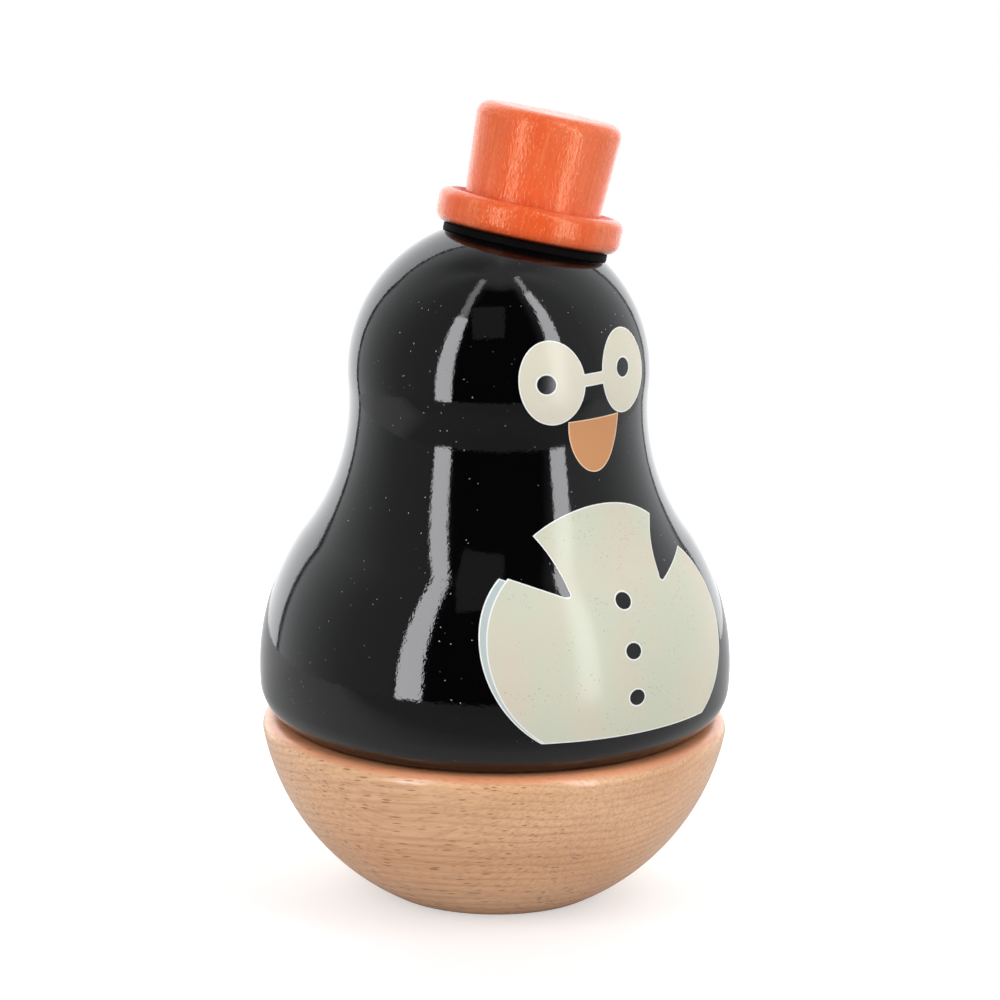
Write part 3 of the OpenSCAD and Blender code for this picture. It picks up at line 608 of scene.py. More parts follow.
@dataclass(frozen=True)
class Stain:
    """Orange stain on turned wood with the grain along the hat's axis, painted glints and a painted
    shade under the brim.
    """

    name: str = "orange_stain"
    colour: Colour = srgb(231, 110, 68)
    deep: Colour = srgb(230, 93, 46)
    # Pale streaks of the grain, and also the colour of the painted glints.
    pale: Colour = srgb(241, 154, 110)
    pore: Colour = srgb(196, 84, 48)
    # Painted shade: the brim's underside is darkened towards this colour, so that its reflection in the
    # head reads as the shaded gap under the brim.
    shade: Colour = srgb(40, 10, 4)
    sheen: Colour = srgb(255, 236, 196)
    turn: Triple = (0, -HAT_TILT, 0)
    low_mm: float = HEAD_Z * math.cos(math.radians(HAT_TILT)) + HAT_SEAT + DISC_T
    tall_mm: float = BRIM_T + CROWN_H
    band: Grain = Grain((9, 9, 60))
    streak: Grain = Grain((0.8, 0.8, 14), 3.1, 4, 0.6)
    pores: Marks = Marks((0.55, 0.55, 1.8), 6.3, 0.28, 0.5)
    pore_depth_mm: float = 0.04
    # Painted highlights: pale specks mixed into the stain's colour stand in for glints of the strip
    # lamps on the grain.
    glints: Marks = Marks((0.45, 0.45, 1.2), 8.9, 0.3, 0.55)
    rings: Grain = Grain((0.7, 3.5, 0.7), 5.2, 3)
    relief: Grain = Grain((0.42, 0.42, 1.1), 2.7, 1, 0.4)
    relief_depth_mm: float = 0.085
    satin: Point = (0.18, 0.28)
    sawn: Point = (0.2, 0.36)

    def material(self) -> bpy.types.Material:
        """Build the material.

        Returns:
            The material.
        """
        recipe = Recipe(self.name, IOR=1.45, Specular_Tint=(*self.sheen, 1))
        band = recipe.noise(self.band, self.turn)
        streak = recipe.noise(self.streak, self.turn)
        wood = recipe.mix(recipe.grey(band, (0.42, 0), (0.62, 1)), self.colour, self.deep)
        wood = recipe.mix(recipe.grey(streak, (0.5, 0), (0.78, 0.3)), wood, self.pore)
        wood = recipe.mix(recipe.grey(streak, (0.25, 0.4), (0.45, 0)), wood, self.pale)
        pores = recipe.specks(self.pores, self.turn)
        glints = recipe.specks(self.glints, self.turn)
        wood = recipe.mix(recipe.math("MULTIPLY", pores, 0.45), wood, self.pore)
        # Painted glints: pale specks mixed into the colour.
        wood = recipe.mix(recipe.math("MULTIPLY", glints, 0.5), wood, self.pale)
        height = self.height(recipe)
        # Painted shade: the lowest part of the hat, the brim's underside, blends to the dark shade
        # colour.
        under = recipe.grey(height, (0.014, 0.95), (0.035, 0))
        top = recipe.grey(height, (0.985, 0), (0.997, 1))
        recipe.feed("Base Color", recipe.mix(under, wood, self.shade))
        satin = recipe.grey(streak, (0.3, self.satin[0]), (0.8, self.satin[1]))
        rings = recipe.noise(self.rings, self.turn)
        sawn = recipe.grey(rings, (0.35, self.sawn[0]), (0.65, self.sawn[1]))
        recipe.feed("Roughness", recipe.mix(top, satin, sawn))
        relief = recipe.noise(self.relief, self.turn)
        relief = recipe.math("MULTIPLY", relief, recipe.grey(top, (0, 1), (1, 0.2)))
        grain = recipe.bump(relief, self.relief_depth_mm)
        recipe.feed("Normal", recipe.pits(pores, self.pore_depth_mm, grain))
        return recipe.material

    def height(self, recipe: Recipe) -> Any:
        """Give the height along the hat's axis, 0 under the brim and 1 on the crown.

        Args:
            recipe: Recipe that the nodes are added to.

        Returns:
            The height's output.
        """
        tilt, turn = math.radians(HAT_TILT), math.radians(HAT_TURN)
        axis = (math.sin(tilt) * math.cos(turn), math.sin(tilt) * math.sin(turn), math.cos(tilt))
        cells = recipe.place([self.tall_mm] * 3)
        along = recipe.add("VectorMath", {0: cells, 1: axis}, operation="DOT_PRODUCT")
        return recipe.math("SUBTRACT", along.outputs["Value"], self.low_mm / self.tall_mm)


@dataclass(frozen=True)
class Film:
    """Printed film under clear lacquer: one colour with a soft mottle and small pits."""

    name: str
    colour: Colour
    warm: Colour
    pit: Colour
    pit_share: float = 0.5
    shine: float = 0.2
    mottle: Grain = Grain((11, 11, 26), 0, 3)
    crowd: Grain = Grain((7, 7, 7), 4.4)
    pit_mm: Triple = (0.7, 0.7, 0.7)
    pit_shift: float = 2.9
    pit_reach: float = 0.24
    ripple: Grain = Grain((1.6, 1.6, 1.6), 1.1, 3)
    ripple_depth_mm: float = 0.0015
    gloss: Point = (0.12, 0.22)

    def material(self) -> bpy.types.Material:
        """Build the material.

        Returns:
            The material.
        """
        recipe = Recipe(self.name, IOR=1.5, Specular_IOR_Level=self.shine)
        mottle = recipe.noise(self.mottle)
        paint = recipe.mix(recipe.grey(mottle, (0.42, 0), (0.68, 1)), self.colour, self.warm)
        crowd = recipe.grey(recipe.noise(self.crowd), (0.48, 0), (0.6, 0.6))
        dots = recipe.specks(Marks(self.pit_mm, self.pit_shift, self.pit_reach, self.pit_share))
        dots = recipe.math("MULTIPLY", dots, crowd)
        recipe.feed("Base Color", recipe.mix(dots, paint, self.pit))
        recipe.feed("Roughness", recipe.grey(mottle, (0.3, self.gloss[0]), (0.7, self.gloss[1])))
        recipe.feed("Normal", recipe.bump(recipe.noise(self.ripple), self.ripple_depth_mm))
        return recipe.material


@dataclass(frozen=True)
class Metal:
    """Metal of the movement, with fine tool marks and a little tarnish."""

    name: str
    colour: Colour
    tarnish: Colour
    roughness: float
    marks: Grain = Grain((0.25, 3, 3), 0, 3)
    mark_depth_mm: float = 0.004
    cloud: Grain = Grain((4, 4, 4), 2.6, 3)
    smoother: float = 0.06
    rougher: float = 0.1

    def material(self) -> bpy.types.Material:
        """Build the material.

        Returns:
            The material.
        """
        recipe = Recipe(self.name, Metallic=1.0)
        marks = recipe.noise(self.marks)
        cloud = recipe.grey(recipe.noise(self.cloud), (0.45, 0), (0.75, 1))
        recipe.feed("Base Color", recipe.mix(cloud, self.colour, self.tarnish))
        low, high = self.roughness - self.smoother, self.roughness + self.rougher
        recipe.feed("Roughness", recipe.grey(marks, (0.3, low), (0.7, high)))
        recipe.feed("Normal", recipe.bump(marks, self.mark_depth_mm))
        return recipe.material


@dataclass(frozen=True)
class Plain:
    """Matt stuff such as felt, plywood or nylon, with a mottle at its own scale."""

    name: str
    colour: Colour
    other: Colour
    cell_mm: Triple
    roughness: float
    depth_mm: float
    shine: float = 0.5

    def material(self) -> bpy.types.Material:
        """Build the material.

        Returns:
            The material.
        """
        recipe = Recipe(self.name, Roughness=self.roughness, Specular_IOR_Level=self.shine)
        mottle = recipe.noise(Grain(self.cell_mm, 0, 4, 0.6))
        share = recipe.grey(mottle, (0.35, 0), (0.7, 1))
        recipe.feed("Base Color", recipe.mix(share, self.colour, self.other))
        recipe.feed("Normal", recipe.bump(mottle, self.depth_mm))
        return recipe.material


class Finish(Enum):
    """Finishes of the music box, by the record's material slots and the prints."""

    BEECH = Beech()
    BLACK_LACQUER = Lacquer()
    ORANGE_STAIN = Stain()
    CREAM = Film("cream_film", srgb(206, 208, 187), srgb(213, 204, 184), srgb(140, 138, 122))
    IVORY = Film("ivory_film", srgb(214, 210, 188), srgb(218, 212, 194), srgb(150, 148, 132))
    WHITE = Film("white_film", srgb(240, 240, 236), srgb(234, 236, 232), srgb(205, 205, 198), 0.1)
    PALE = Film("pale_film", srgb(238, 206, 178), srgb(236, 202, 172), srgb(210, 176, 148), 0.1)
    MIST = Film("mist_film", srgb(184, 197, 194), srgb(190, 200, 196), srgb(160, 170, 168), 0.1)
    TAN = Film("tan_film", srgb(203, 145, 99), srgb(207, 149, 102), srgb(170, 120, 84), 0.1)
    INK = Film("black_film", srgb(20, 20, 21), srgb(28, 28, 29), srgb(70, 70, 72), 0.2, 0.5)
    # Matt, barely reflecting black for the modelled disc under the brim; its dull black also stands in
    # for the shaded gap there, as painted shade.
    BLACK_STAIN = Plain("disc_shade_black", srgb(6, 4, 4), srgb(11, 8, 8), (3, 3, 3), 0.7, 0.01, 0.06)
    PLYWOOD = Plain("plywood", srgb(208, 178, 138), srgb(184, 150, 108), (12, 12, 0.9), 0.6, 0.05)
    FELT = Plain("felt", srgb(128, 42, 36), srgb(98, 30, 28), (0.4, 0.4, 0.4), 0.95, 0.15)
    NYLON = Plain("nylon", srgb(236, 233, 224), srgb(226, 222, 210), (3, 3, 3), 0.35, 0.01)
    ZINC = Metal("zinc", srgb(150, 152, 155), srgb(122, 124, 127), 0.45)
    BRASS = Metal("brass", srgb(212, 176, 104), srgb(186, 146, 82), 0.26)
    STEEL = Metal("steel", srgb(176, 178, 182), srgb(150, 152, 157), 0.24)


class Palette:
    """Materials that were already built, one for each finish."""

    def __init__(self) -> None:
        """Start with no material."""
        self.made: dict[Finish, bpy.types.Material] = {}

    def get(self, finish: Finish) -> bpy.types.Material:
        """Give a finish's material, and build it the first time.

        Args:
            finish: The finish.

        Returns:
            The material.
        """
        if finish not in self.made:
            self.made[finish] = finish.value.material()
        return self.made[finish]

    def dress(self, piece: bpy.types.Object, *finishes: Finish) -> None:
        """Give a piece its materials, in the order of its faces' indices.

        Args:
            piece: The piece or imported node.
            *finishes: One finish for each index.
        """
        held = piece.data.materials
        for index, finish in enumerate(finishes):
            if index < len(held):
                held[index] = self.get(finish)
            else:
                held.append(self.get(finish))


def edge_centre(ball: float, centre_z: float, rounding: float, z: float) -> Point:
    """Give the centre of an edge's arc that touches a ball from inside.

    Args:
        ball: Radius of the ball.
        centre_z: Height of the ball's centre.
        rounding: Radius of the arc.
        z: Height of the arc's centre.

    Returns:
        The arc's centre.
    """
    return math.sqrt((ball - rounding) ** 2 - (z - centre_z) ** 2), z


def edge_touch(ball: float, centre_z: float, rounding: float, z: float) -> Point:
    """Give the point where such an arc touches the ball.

    Args:
        ball: Radius of the ball.
        centre_z: Height of the ball's centre.
        rounding: Radius of the arc.
        z: Height of the arc's centre.

    Returns:
        The point.
    """
    x, z = edge_centre(ball, centre_z, rounding, z)
    share = ball / (ball - rounding)
    return x * share, centre_z + (z - centre_z) * share


@dataclass
class Base:
    """Beech base: a ball cut flat above and below, with a pocket and a spigot."""

    ball: float = 45.75
    height: float = 34.4
    foot_cut: float = 20
    foot_round: float = 3
    rim_round: float = 2.4
    lip: float = 0.35
    lip_in: float = 40.8
    spigot: float = 35.2815
    spigot_h: float = 2.6
    pocket: float = 32.6815
    floor: float = 15.7172
    edge_steps: int = 10
    ball_steps: int = 56
    turn_steps: int = 256

    def build(self, palette: Palette) -> None:
        """Turn the base and dress it.

        Args:
            palette: Materials.
        """
        centre = (0, math.sqrt(self.ball**2 - self.foot_cut**2))
        foot = (self.ball, centre[1], self.foot_round, self.foot_round)
        top = self.height + self.lip
        rim = (self.ball, centre[1], self.rim_round, top - self.rim_round)
        foot_centre, rim_centre = edge_centre(*foot), edge_centre(*rim)
        spigot_top = self.height + self.spigot_h
        pen = Pen(0, 0)
        pen.line(foot_centre[0] / 2, 0).line(foot_centre[0], 0)
        pen.arc_to(edge_touch(*foot), foot_centre, self.edge_steps)
        pen.arc_to(edge_touch(*rim), centre, self.ball_steps)
        pen.arc_to((rim_centre[0], top), rim_centre, self.edge_steps)
        pen.line(self.lip_in, top).line(self.lip_in - self.lip, self.height)
        pen.line(self.spigot, self.height).line(self.spigot, spigot_top)
        pen.line(self.pocket, spigot_top).line(self.pocket, self.floor).line(0, self.floor)
        pen.spin(self.turn_steps)
        piece = finish_mesh(pen.mesh, "turned_base", Body.BASE)
        palette.dress(piece, Finish.BEECH)
        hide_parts("base_bowl")


@dataclass
class Figure:
    """Turned penguin: belly, hollow neck and head, with a tilted flat for the hat."""

    foot_z: float = 34.5
    belly: float = 45.55
    belly_z: float = 45.25
    belly_round: float = 7.4
    head: float = 29.3
    head_z: float = HEAD_Z
    neck: float = 43.8
    bore: float = 35.5815
    step_z: float = 37.8
    pocket: float = 32.6815
    ceiling_z: float = 43.8105
    arbor_room: float = 4
    arbor_room_z: float = 47.8105
    hat_tilt: float = HAT_TILT
    hat_turn: float = HAT_TURN
    hat_seat: float = HAT_SEAT
    seat_round: float = 0.4
    dowel: float = 3.05
    dowel_reach: float = 11.05
    head_end: float = 80
    cap_end: float = 42
    bridge_cuts: int = 24
    edge_steps: int = 20
    belly_steps: int = 56
    neck_steps: int = 40
    head_steps: int = 16
    seat_steps: int = 6
    cap_steps: int = 8
    turn_steps: int = 256

    def __post_init__(self) -> None:
        """Work out the neck's arc, which touches the belly's and the head's."""
        to_belly, to_head = self.belly + self.neck, self.head + self.neck
        rise = self.head_z - self.belly_z
        up = (to_belly**2 - to_head**2 + rise**2) / (2 * rise)
        out = math.sqrt(to_belly**2 - up**2)
        self.neck_centre = (out, self.belly_z + up)
        self.neck_low = (out * self.belly / to_belly, self.belly_z + up * self.belly / to_belly)
        self.neck_high = (out * self.head / to_head, self.head_z + (up - rise) * self.head / to_head)

    def hat_place(self) -> Matrix:
        """Give the matrix that puts a shape, drawn round the head's centre, on the hat's axis.

        Returns:
            The matrix.
        """
        turn = Matrix.Rotation(math.radians(self.hat_turn), 4, "Z")
        lean = Matrix.Rotation(math.radians(self.hat_tilt), 4, "Y")
        return Matrix.Translation((0, 0, self.head_z * MM)) @ turn @ lean

    def radius(self, z: float) -> float:
        """Give the figure's radius at a height.

        Args:
            z: The height, in millimetres.

        Returns:
            The radius, in millimetres.
        """
        if z < self.neck_low[1]:
            return math.sqrt(self.belly**2 - (z - self.belly_z) ** 2)
        if z < self.neck_high[1]:
            return self.neck_centre[0] - math.sqrt(self.neck**2 - (z - self.neck_centre[1]) ** 2)
        return math.sqrt(self.head**2 - (z - self.head_z) ** 2)

    def build(self, palette: Palette) -> None:
        """Turn the figure and dress it.

        Args:
            palette: Materials.
        """
        mesh = self.turn_body()
        self.turn_cap(mesh)
        self.join_head(mesh)
        piece = finish_mesh(mesh, "turned_figure", Body.PENGUIN)
        palette.dress(piece, Finish.BLACK_LACQUER)
        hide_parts("penguin_body")

    def head_point(self, degrees: float) -> Point:
        """Give a point on the head's circle round its centre, at an angle from its top."""
        return self.head * math.sin(math.radians(degrees)), self.head * math.cos(math.radians(degrees))

    def turn_body(self) -> BMesh:
        """Turn the hollow, the belly, the neck and the head's lower part.

        Returns:
            The mesh, open at the head.
        """
        edge = (self.belly, self.belly_z, self.belly_round, self.foot_z + self.belly_round)
        edge_mid = edge_centre(*edge)
        end_x, end_up = self.head_point(self.head_end)
        pen = Pen(0, self.arbor_room_z)
        pen.line(self.arbor_room, self.arbor_room_z).line(self.arbor_room, self.ceiling_z)
        pen.line(self.pocket, self.ceiling_z).line(self.pocket, self.step_z).line(self.bore, self.step_z)
        pen.line(self.bore, self.foot_z).line(edge_mid[0], self.foot_z)
        pen.arc_to(edge_touch(*edge), edge_mid, self.edge_steps)
        pen.arc_to(self.neck_low, (0, self.belly_z), self.belly_steps)
        pen.arc_to(self.neck_high, self.neck_centre, self.neck_steps)
        pen.arc_to((end_x, self.head_z + end_up), (0, self.head_z), self.head_steps)
        pen.spin(self.turn_steps)
        bmesh.ops.remove_doubles(pen.mesh, verts=pen.mesh.verts, dist=WELD)
        return pen.mesh

    def turn_cap(self, mesh: BMesh) -> None:
        """Turn the head's top round the hat's axis, with its flat and the dowel's hole.

        Args:
            mesh: Mesh that the cap is added to, apart from what it holds already.
        """
        seat_z = self.hat_seat
        soft_z = seat_z - self.seat_round
        soft = edge_centre(self.head, 0, self.seat_round, soft_z)
        known = set(mesh.verts)
        pen = Pen(0, seat_z - self.dowel_reach, mesh)
        pen.line(self.dowel, seat_z - self.dowel_reach).line(self.dowel, seat_z).line(soft[0], seat_z)
        pen.arc_to(edge_touch(self.head, 0, self.seat_round, soft_z), soft, self.seat_steps)
        pen.arc_to(self.head_point(self.cap_end), (0, 0), self.cap_steps)
        pen.spin(self.turn_steps)
        cap = [v for v in mesh.verts if v not in known]
        bmesh.ops.remove_doubles(mesh, verts=cap, dist=WELD)
        cap = [v for v in mesh.verts if v not in known]
        bmesh.ops.transform(mesh, matrix=self.hat_place(), verts=cap)

    def join_head(self, mesh: BMesh) -> None:
        """Bridge the head's lower part and its cap, and lay the bridge on the head's ball.

        Args:
            mesh: Mesh with the two open loops.
        """
        loops = [e for e in mesh.edges if e.is_boundary]
        bridge = bmesh.ops.bridge_loops(mesh, edges=loops)
        cut = bmesh.ops.subdivide_edges(
            mesh, edges=bridge["edges"], cuts=self.bridge_cuts, use_grid_fill=True
        )
        centre = Vector((0, 0, self.head_z * MM))
        for vert in cut["geom_inner"]:
            if isinstance(vert, BMVert):
                vert.co = centre + (vert.co - centre).normalized() * self.head * MM


def slot_of(node: str) -> str:
    """Give the record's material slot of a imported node."""
    return next(p["material_slot"] for p in frame["record"]["subparts"] if p["node"] == node)


@dataclass
class Hat:
    """Turned tall hat on a black disc: a thick brim and a crown that widens upwards."""

    figure: Figure
    disc: float = 16.0213
    disc_t: float = DISC_T
    disc_round: float = 0.2
    brim: float = 18.05
    brim_t: float = BRIM_T
    brim_dip: float = 0.9
    brim_round: float = 2.5
    crest_round: float = 1.9
    crest_up: float = 0.45
    crest_drop: float = 0.75
    crest_in: float = 0.55
    crown_foot: float = 13.2
    crown_top: float = 14.2
    crown_h: float = CROWN_H
    crown_round: float = 2.6
    crease: float = 0.4
    disc_steps: int = 4
    brim_steps: int = 12
    crease_steps: int = 5
    crown_steps: int = 14
    turn_steps: int = 224

    def build(self, palette: Palette) -> None:
        """Turn the disc and the hat, set them on the head and dress them.

        Args:
            palette: Materials.
        """
        # The disc is dressed matt black, partly as painted shade of the gap under the brim.
        self.seat(self.turn_disc(), "seat_disc", Finish.BLACK_STAIN, palette)
        self.seat(self.turn_hat(), "top_hat", Finish.ORANGE_STAIN, palette)

    def seat(self, pen: Pen, node: str, finish: Finish, palette: Palette) -> None:
        """Spin a section, set the shape on the hat's axis and dress it.

        Args:
            pen: The section.
            node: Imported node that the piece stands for.
            finish: Finish of the piece.
            palette: Materials.
        """
        pen.spin(self.turn_steps)
        bmesh.ops.transform(pen.mesh, matrix=self.figure.hat_place(), verts=pen.mesh.verts)
        piece = finish_mesh(pen.mesh, "turned_" + node, Body.PENGUIN)
        palette.dress(piece, finish)
        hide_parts(node)

    def turn_disc(self) -> Pen:
        """Draw the section of the black disc under the brim.

        Returns:
            The pen with the section.
        """
        low, high = self.figure.hat_seat, self.figure.hat_seat + self.disc_t
        hole, soft = self.figure.dowel, self.disc - self.disc_round
        pen = Pen(hole, high)
        pen.line(hole, low).line(soft, low)
        pen.arc_to((self.disc, low + self.disc_round), (soft, low + self.disc_round), self.disc_steps)
        pen.line(self.disc, high - self.disc_round)
        pen.arc_to((soft, high), (soft, high - self.disc_round), self.disc_steps)
        pen.close()
        return pen

    def turn_hat(self) -> Pen:
        """Draw the section of the hat.

        Returns:
            The pen with the section.
        """
        low = self.figure.hat_seat + self.disc_t
        edge_x = self.brim - self.brim_round
        edge_low = low + self.brim_round
        deck = low + self.brim_t - self.brim_dip
        crest = (self.brim - self.crest_round, low + self.brim_t + self.crest_up)
        edge_high = crest[1] - self.crest_round
        top = low + self.brim_t + self.crown_h
        shoulder = (self.crown_top - self.crown_round, top - self.crown_round)
        hole, hole_z = self.figure.dowel, self.figure.hat_seat + self.figure.dowel_reach
        crease = (self.crown_foot + self.crease, deck + self.crease)
        pen = Pen(0, hole_z)
        pen.line(hole, hole_z).line(hole, low).line(edge_x, low)
        pen.arc_to((self.brim, edge_low), (edge_x, edge_low), self.brim_steps).line(self.brim, edge_high)
        pen.arc_to(crest, (crest[0], edge_high), self.brim_steps)
        pen.line(crest[0] - self.crest_in, crest[1] - self.crest_drop)
        pen.line(crease[0], deck).arc_to((self.crown_foot, crease[1]), crease, self.crease_steps)
        pen.line(self.crown_top, shoulder[1])
        pen.arc_to((shoulder[0], top), shoulder, self.crown_steps)
        pen.line(shoulder[0] / 2, top).line(0, top)
        return pen


@dataclass
class Prints:
    """Films printed on the figure: eyes with a bridge, pupils, beak, shirt front and buttons."""

    figure: Figure
    face_x: float = 0.2
    eye_x: float = 8.6
    eye_z: float = 108.05
    eye_half_w: float = 6.5
    eye_half_h: float = 8.05
    bridge_half_h: float = 1.2
    pupil_at: tuple[Point, Point] = ((-9.97, 108.05), (8.2, 108.9))
    pupil: float = 1.8
    beak_x: float = 0.55
    beak_half_w: float = 6.15
    beak_h: float = 10.5
    beak_z: float = 100.35
    shirt_at: Point = (-0.9, 58)
    shirt_lean: float = 0.0253
    hem: Point = (18.87, 41.9)
    side_mid: Point = (8.56, 57.7)
    side_top: float = 72.3
    notch: Point = (11.48, 69.3)
    notch_round: float = 0.7
    notch_from: float = 155
    notch_turn: float = 150
    collar_corner: Point = (14.2, 79.45)
    collar_bow: float = 0.7
    collar_mid: Point = (0, 59)
    shade_shift: float = 0.95
    shade_lean: float = 0.03
    button_side: float = -0.18
    button: float = 1.5
    button_wide: float = 1.14
    button_zs: tuple[float, float, float] = (66.9, 57.8, 49.05)
    edge: float = 0.21
    ring: float = 0.27
    film: float = 0.02
    ground: float = 0.01
    grid: float = 1.1
    fold: float = 50
    round_steps: int = 72
    side_steps: int = 40
    notch_steps: int = 10
    bow_steps: int = 12
    collar_steps: int = 24

    def build(self, palette: Palette) -> None:
        """Lay every print on the figure and dress it.

        Args:
            palette: Materials.
        """
        self.lay("eyes", self.eyes(), palette, Finish.IVORY)
        self.lay("beak", self.beak(), palette, Finish.TAN, Finish.PALE)
        self.lay("shirt_shade", self.shirt_front(False), palette, Finish.MIST)
        self.lay("shirt_front", self.shirt_front(True), palette, Finish.CREAM, level=1)
        for name, (x, z) in zip(("right_pupil", "left_pupil"), self.pupil_at):
            mesh = self.disc(x, z, self.pupil + self.ring)
            self.lay(name, mesh, palette, Finish.INK, level=1, border=self.ring)
        for number, z in enumerate(self.button_zs, 1):
            x = self.shirt_at[0] + self.button_side + self.shirt_lean * (z - self.shirt_at[1])
            mesh = self.disc(x, z, self.button + self.ring, self.button_wide)
            self.lay(f"button_{number}", mesh, palette, Finish.INK, level=2, border=self.ring)

    def lay(
        self, name: str, mesh: BMesh, palette: Palette, finish: Finish, edge: Finish = Finish.WHITE,
        level: int = 0, border: float | None = None,
    ) -> None:
        """Give a flat outline its pale edge, wrap it on the figure and thicken it.

        Args:
            name: Name of the piece.
            mesh: Mesh with the outline's one face, in the XZ plane.
            palette: Materials.
            finish: Finish inside the pale edge.
            edge: Finish of the edge.
            level: Number of films that lie under this one.
            border: Width of the pale edge, or None for the usual one.
        """
        width = (border or self.edge) * MM
        rim = bmesh.ops.inset_region(
            mesh, faces=mesh.faces[:], thickness=width, use_even_offset=True, use_boundary=True
        )
        for face in rim["faces"]:
            face.material_index = 1
        bmesh.ops.triangulate(mesh, faces=mesh.faces[:])
        self.slice(mesh)
        lift = self.ground + level * (self.film + self.ground)
        for vert in mesh.verts:
            x, z = vert.co.x / MM, vert.co.z / MM
            depth = (self.figure.radius(z) + lift) ** 2 - x**2
            vert.co.y = -math.sqrt(depth) * MM
        bmesh.ops.recalc_face_normals(mesh, faces=mesh.faces)
        if sum(f.normal.y for f in mesh.faces) > 0:
            bmesh.ops.reverse_faces(mesh, faces=mesh.faces)
        self.thicken(mesh)
        piece = finish_mesh(mesh, name, Body.PENGUIN, self.fold)
        palette.dress(piece, finish, edge)

    def slice(self, mesh: BMesh) -> None:
        """Cut a flat mesh along a square grid, so that it can follow the figure.

        Args:
            mesh: The flat mesh.
        """
        for axis in (0, 2):
            low = min(v.co[axis] for v in mesh.verts)
            high = max(v.co[axis] for v in mesh.verts)
            cuts = int((high - low) / (self.grid * MM))
            normal = Vector((0, 0, 0))
            normal[axis] = 1
            for i in range(1, cuts + 1):
                point = normal * (low + i * (high - low) / (cuts + 1))
                geometry = mesh.verts[:] + mesh.edges[:] + mesh.faces[:]
                bmesh.ops.bisect_plane(
                    mesh, geom=geometry, dist=CUT_NEAR, plane_co=point, plane_no=normal
                )

    def thicken(self, mesh: BMesh) -> None:
        """Raise the film's outer face from the surface and close its edges.

        Args:
            mesh: The wrapped sheet, with its faces pointing out.
        """
        mesh.normal_update()
        push = {v: v.normal.copy() for v in mesh.verts}
        sheet = list(mesh.faces)
        copy = bmesh.ops.duplicate(mesh, geom=mesh.verts[:] + mesh.edges[:] + sheet)
        under = [f for f in copy["geom"] if isinstance(f, BMFace)]
        for vert, normal in push.items():
            vert.co += normal * self.film * MM
        bmesh.ops.reverse_faces(mesh, faces=under)
        borders = [e for e in mesh.edges if e.is_boundary]
        walls = bmesh.ops.bridge_loops(mesh, edges=borders)["faces"]
        for face in walls:
            face.material_index = 1

    def disc(self, x: float, z: float, radius: float, wide: float = 1) -> BMesh:
        """Give a flat round outline.

        Args:
            x: Place of its centre across.
            z: Height of its centre.
            radius: Its radius.
            wide: How much wider than high it is.

        Returns:
            The mesh.
        """
        mesh = bmesh.new()
        place = Matrix.Translation((x * MM, 0, z * MM)) @ Matrix.Diagonal((wide, 1, 1, 1))
        place = place @ Matrix.Rotation(math.pi / 2, 4, "X")
        bmesh.ops.create_circle(
            mesh, cap_ends=True, segments=self.round_steps, radius=radius * MM, matrix=place
        )
        return mesh

    def eyes(self) -> BMesh:
        """Give the outline of two oval eyes joined by a bridge, drawn round and then stretched.

        Returns:
            The mesh.
        """
        radius = self.eye_half_w
        stretch = self.eye_half_h / radius
        half = self.bridge_half_h / stretch
        reach = math.sqrt(radius**2 - half**2)
        sweep = 360 - 2 * math.degrees(math.asin(half / radius))
        inner = self.eye_x - reach
        pen = Pen(-inner, half)
        pen.arc((-self.eye_x, 0), -sweep, self.round_steps)
        pen.line(inner, -half)
        pen.arc((self.eye_x, 0), -sweep, self.round_steps)
        bmesh.ops.contextual_create(pen.mesh, geom=pen.close())
        place = Matrix.Translation((self.face_x * MM, 0, self.eye_z * MM))
        place = place @ Matrix.Scale(stretch, 4, (0, 0, 1))
        bmesh.ops.transform(pen.mesh, matrix=place, verts=pen.mesh.verts)
        return pen.mesh

    def beak(self) -> BMesh:
        """Give the outline of the beak: the lower half of an oval.

        Returns:
            The mesh.
        """
        pen = Pen(-1, 0)
        pen.arc((0, 0), -180, self.round_steps)
        bmesh.ops.contextual_create(pen.mesh, geom=pen.close())
        place = Matrix.Translation((self.beak_x * MM, 0, self.beak_z * MM))
        place = place @ Matrix.Diagonal((self.beak_half_w, 1, self.beak_h, 1))
        bmesh.ops.transform(pen.mesh, matrix=place, verts=pen.mesh.verts)
        return pen.mesh

    def shirt_front(self, collar: bool) -> BMesh:
        """Give the outline of a round-sided shirt front, with a notch on each side of its collar.

        Args:
            collar: False for the shade beside it, which is one half without the collar.

        Returns:
            The mesh.
        """
        rise = self.side_top - self.side_mid[1]
        side_x = self.side_mid[0] + math.sqrt(math.dist(self.hem, self.side_mid) ** 2 - rise**2)
        low = math.radians(self.notch_from)
        notch_x = self.notch[0] + self.notch_round * math.sin(low)
        notch_z = self.notch[1] + self.notch_round * math.cos(low)
        pen = Pen(0, self.hem[1])
        pen.line(*self.hem).turn_to((side_x, self.side_top), self.side_mid, self.side_steps)
        pen.line(notch_x, notch_z)
        if collar:
            collar_top = self.collar_mid[1] + math.dist(self.collar_corner, self.collar_mid)
            pen.arc(self.notch, self.notch_turn, self.notch_steps)
            pen.bow(self.collar_corner, self.collar_bow, self.bow_steps)
            pen.arc_to((0, collar_top), self.collar_mid, self.collar_steps)
        else:
            pen.line(0, self.notch[1])
        bmesh.ops.contextual_create(pen.mesh, geom=pen.close())
        if collar:
            half = pen.mesh.verts[:] + pen.mesh.edges[:] + pen.mesh.faces[:]
            bmesh.ops.mirror(pen.mesh, geom=half, axis="X", merge_dist=MIRROR_NEAR)
            middle = [e for e in pen.mesh.edges if len(e.link_faces) == 2]
            bmesh.ops.dissolve_edges(pen.mesh, edges=middle)
        else:
            bmesh.ops.scale(pen.mesh, vec=(-1, 1, 1), verts=pen.mesh.verts)
        x, z = self.shirt_at
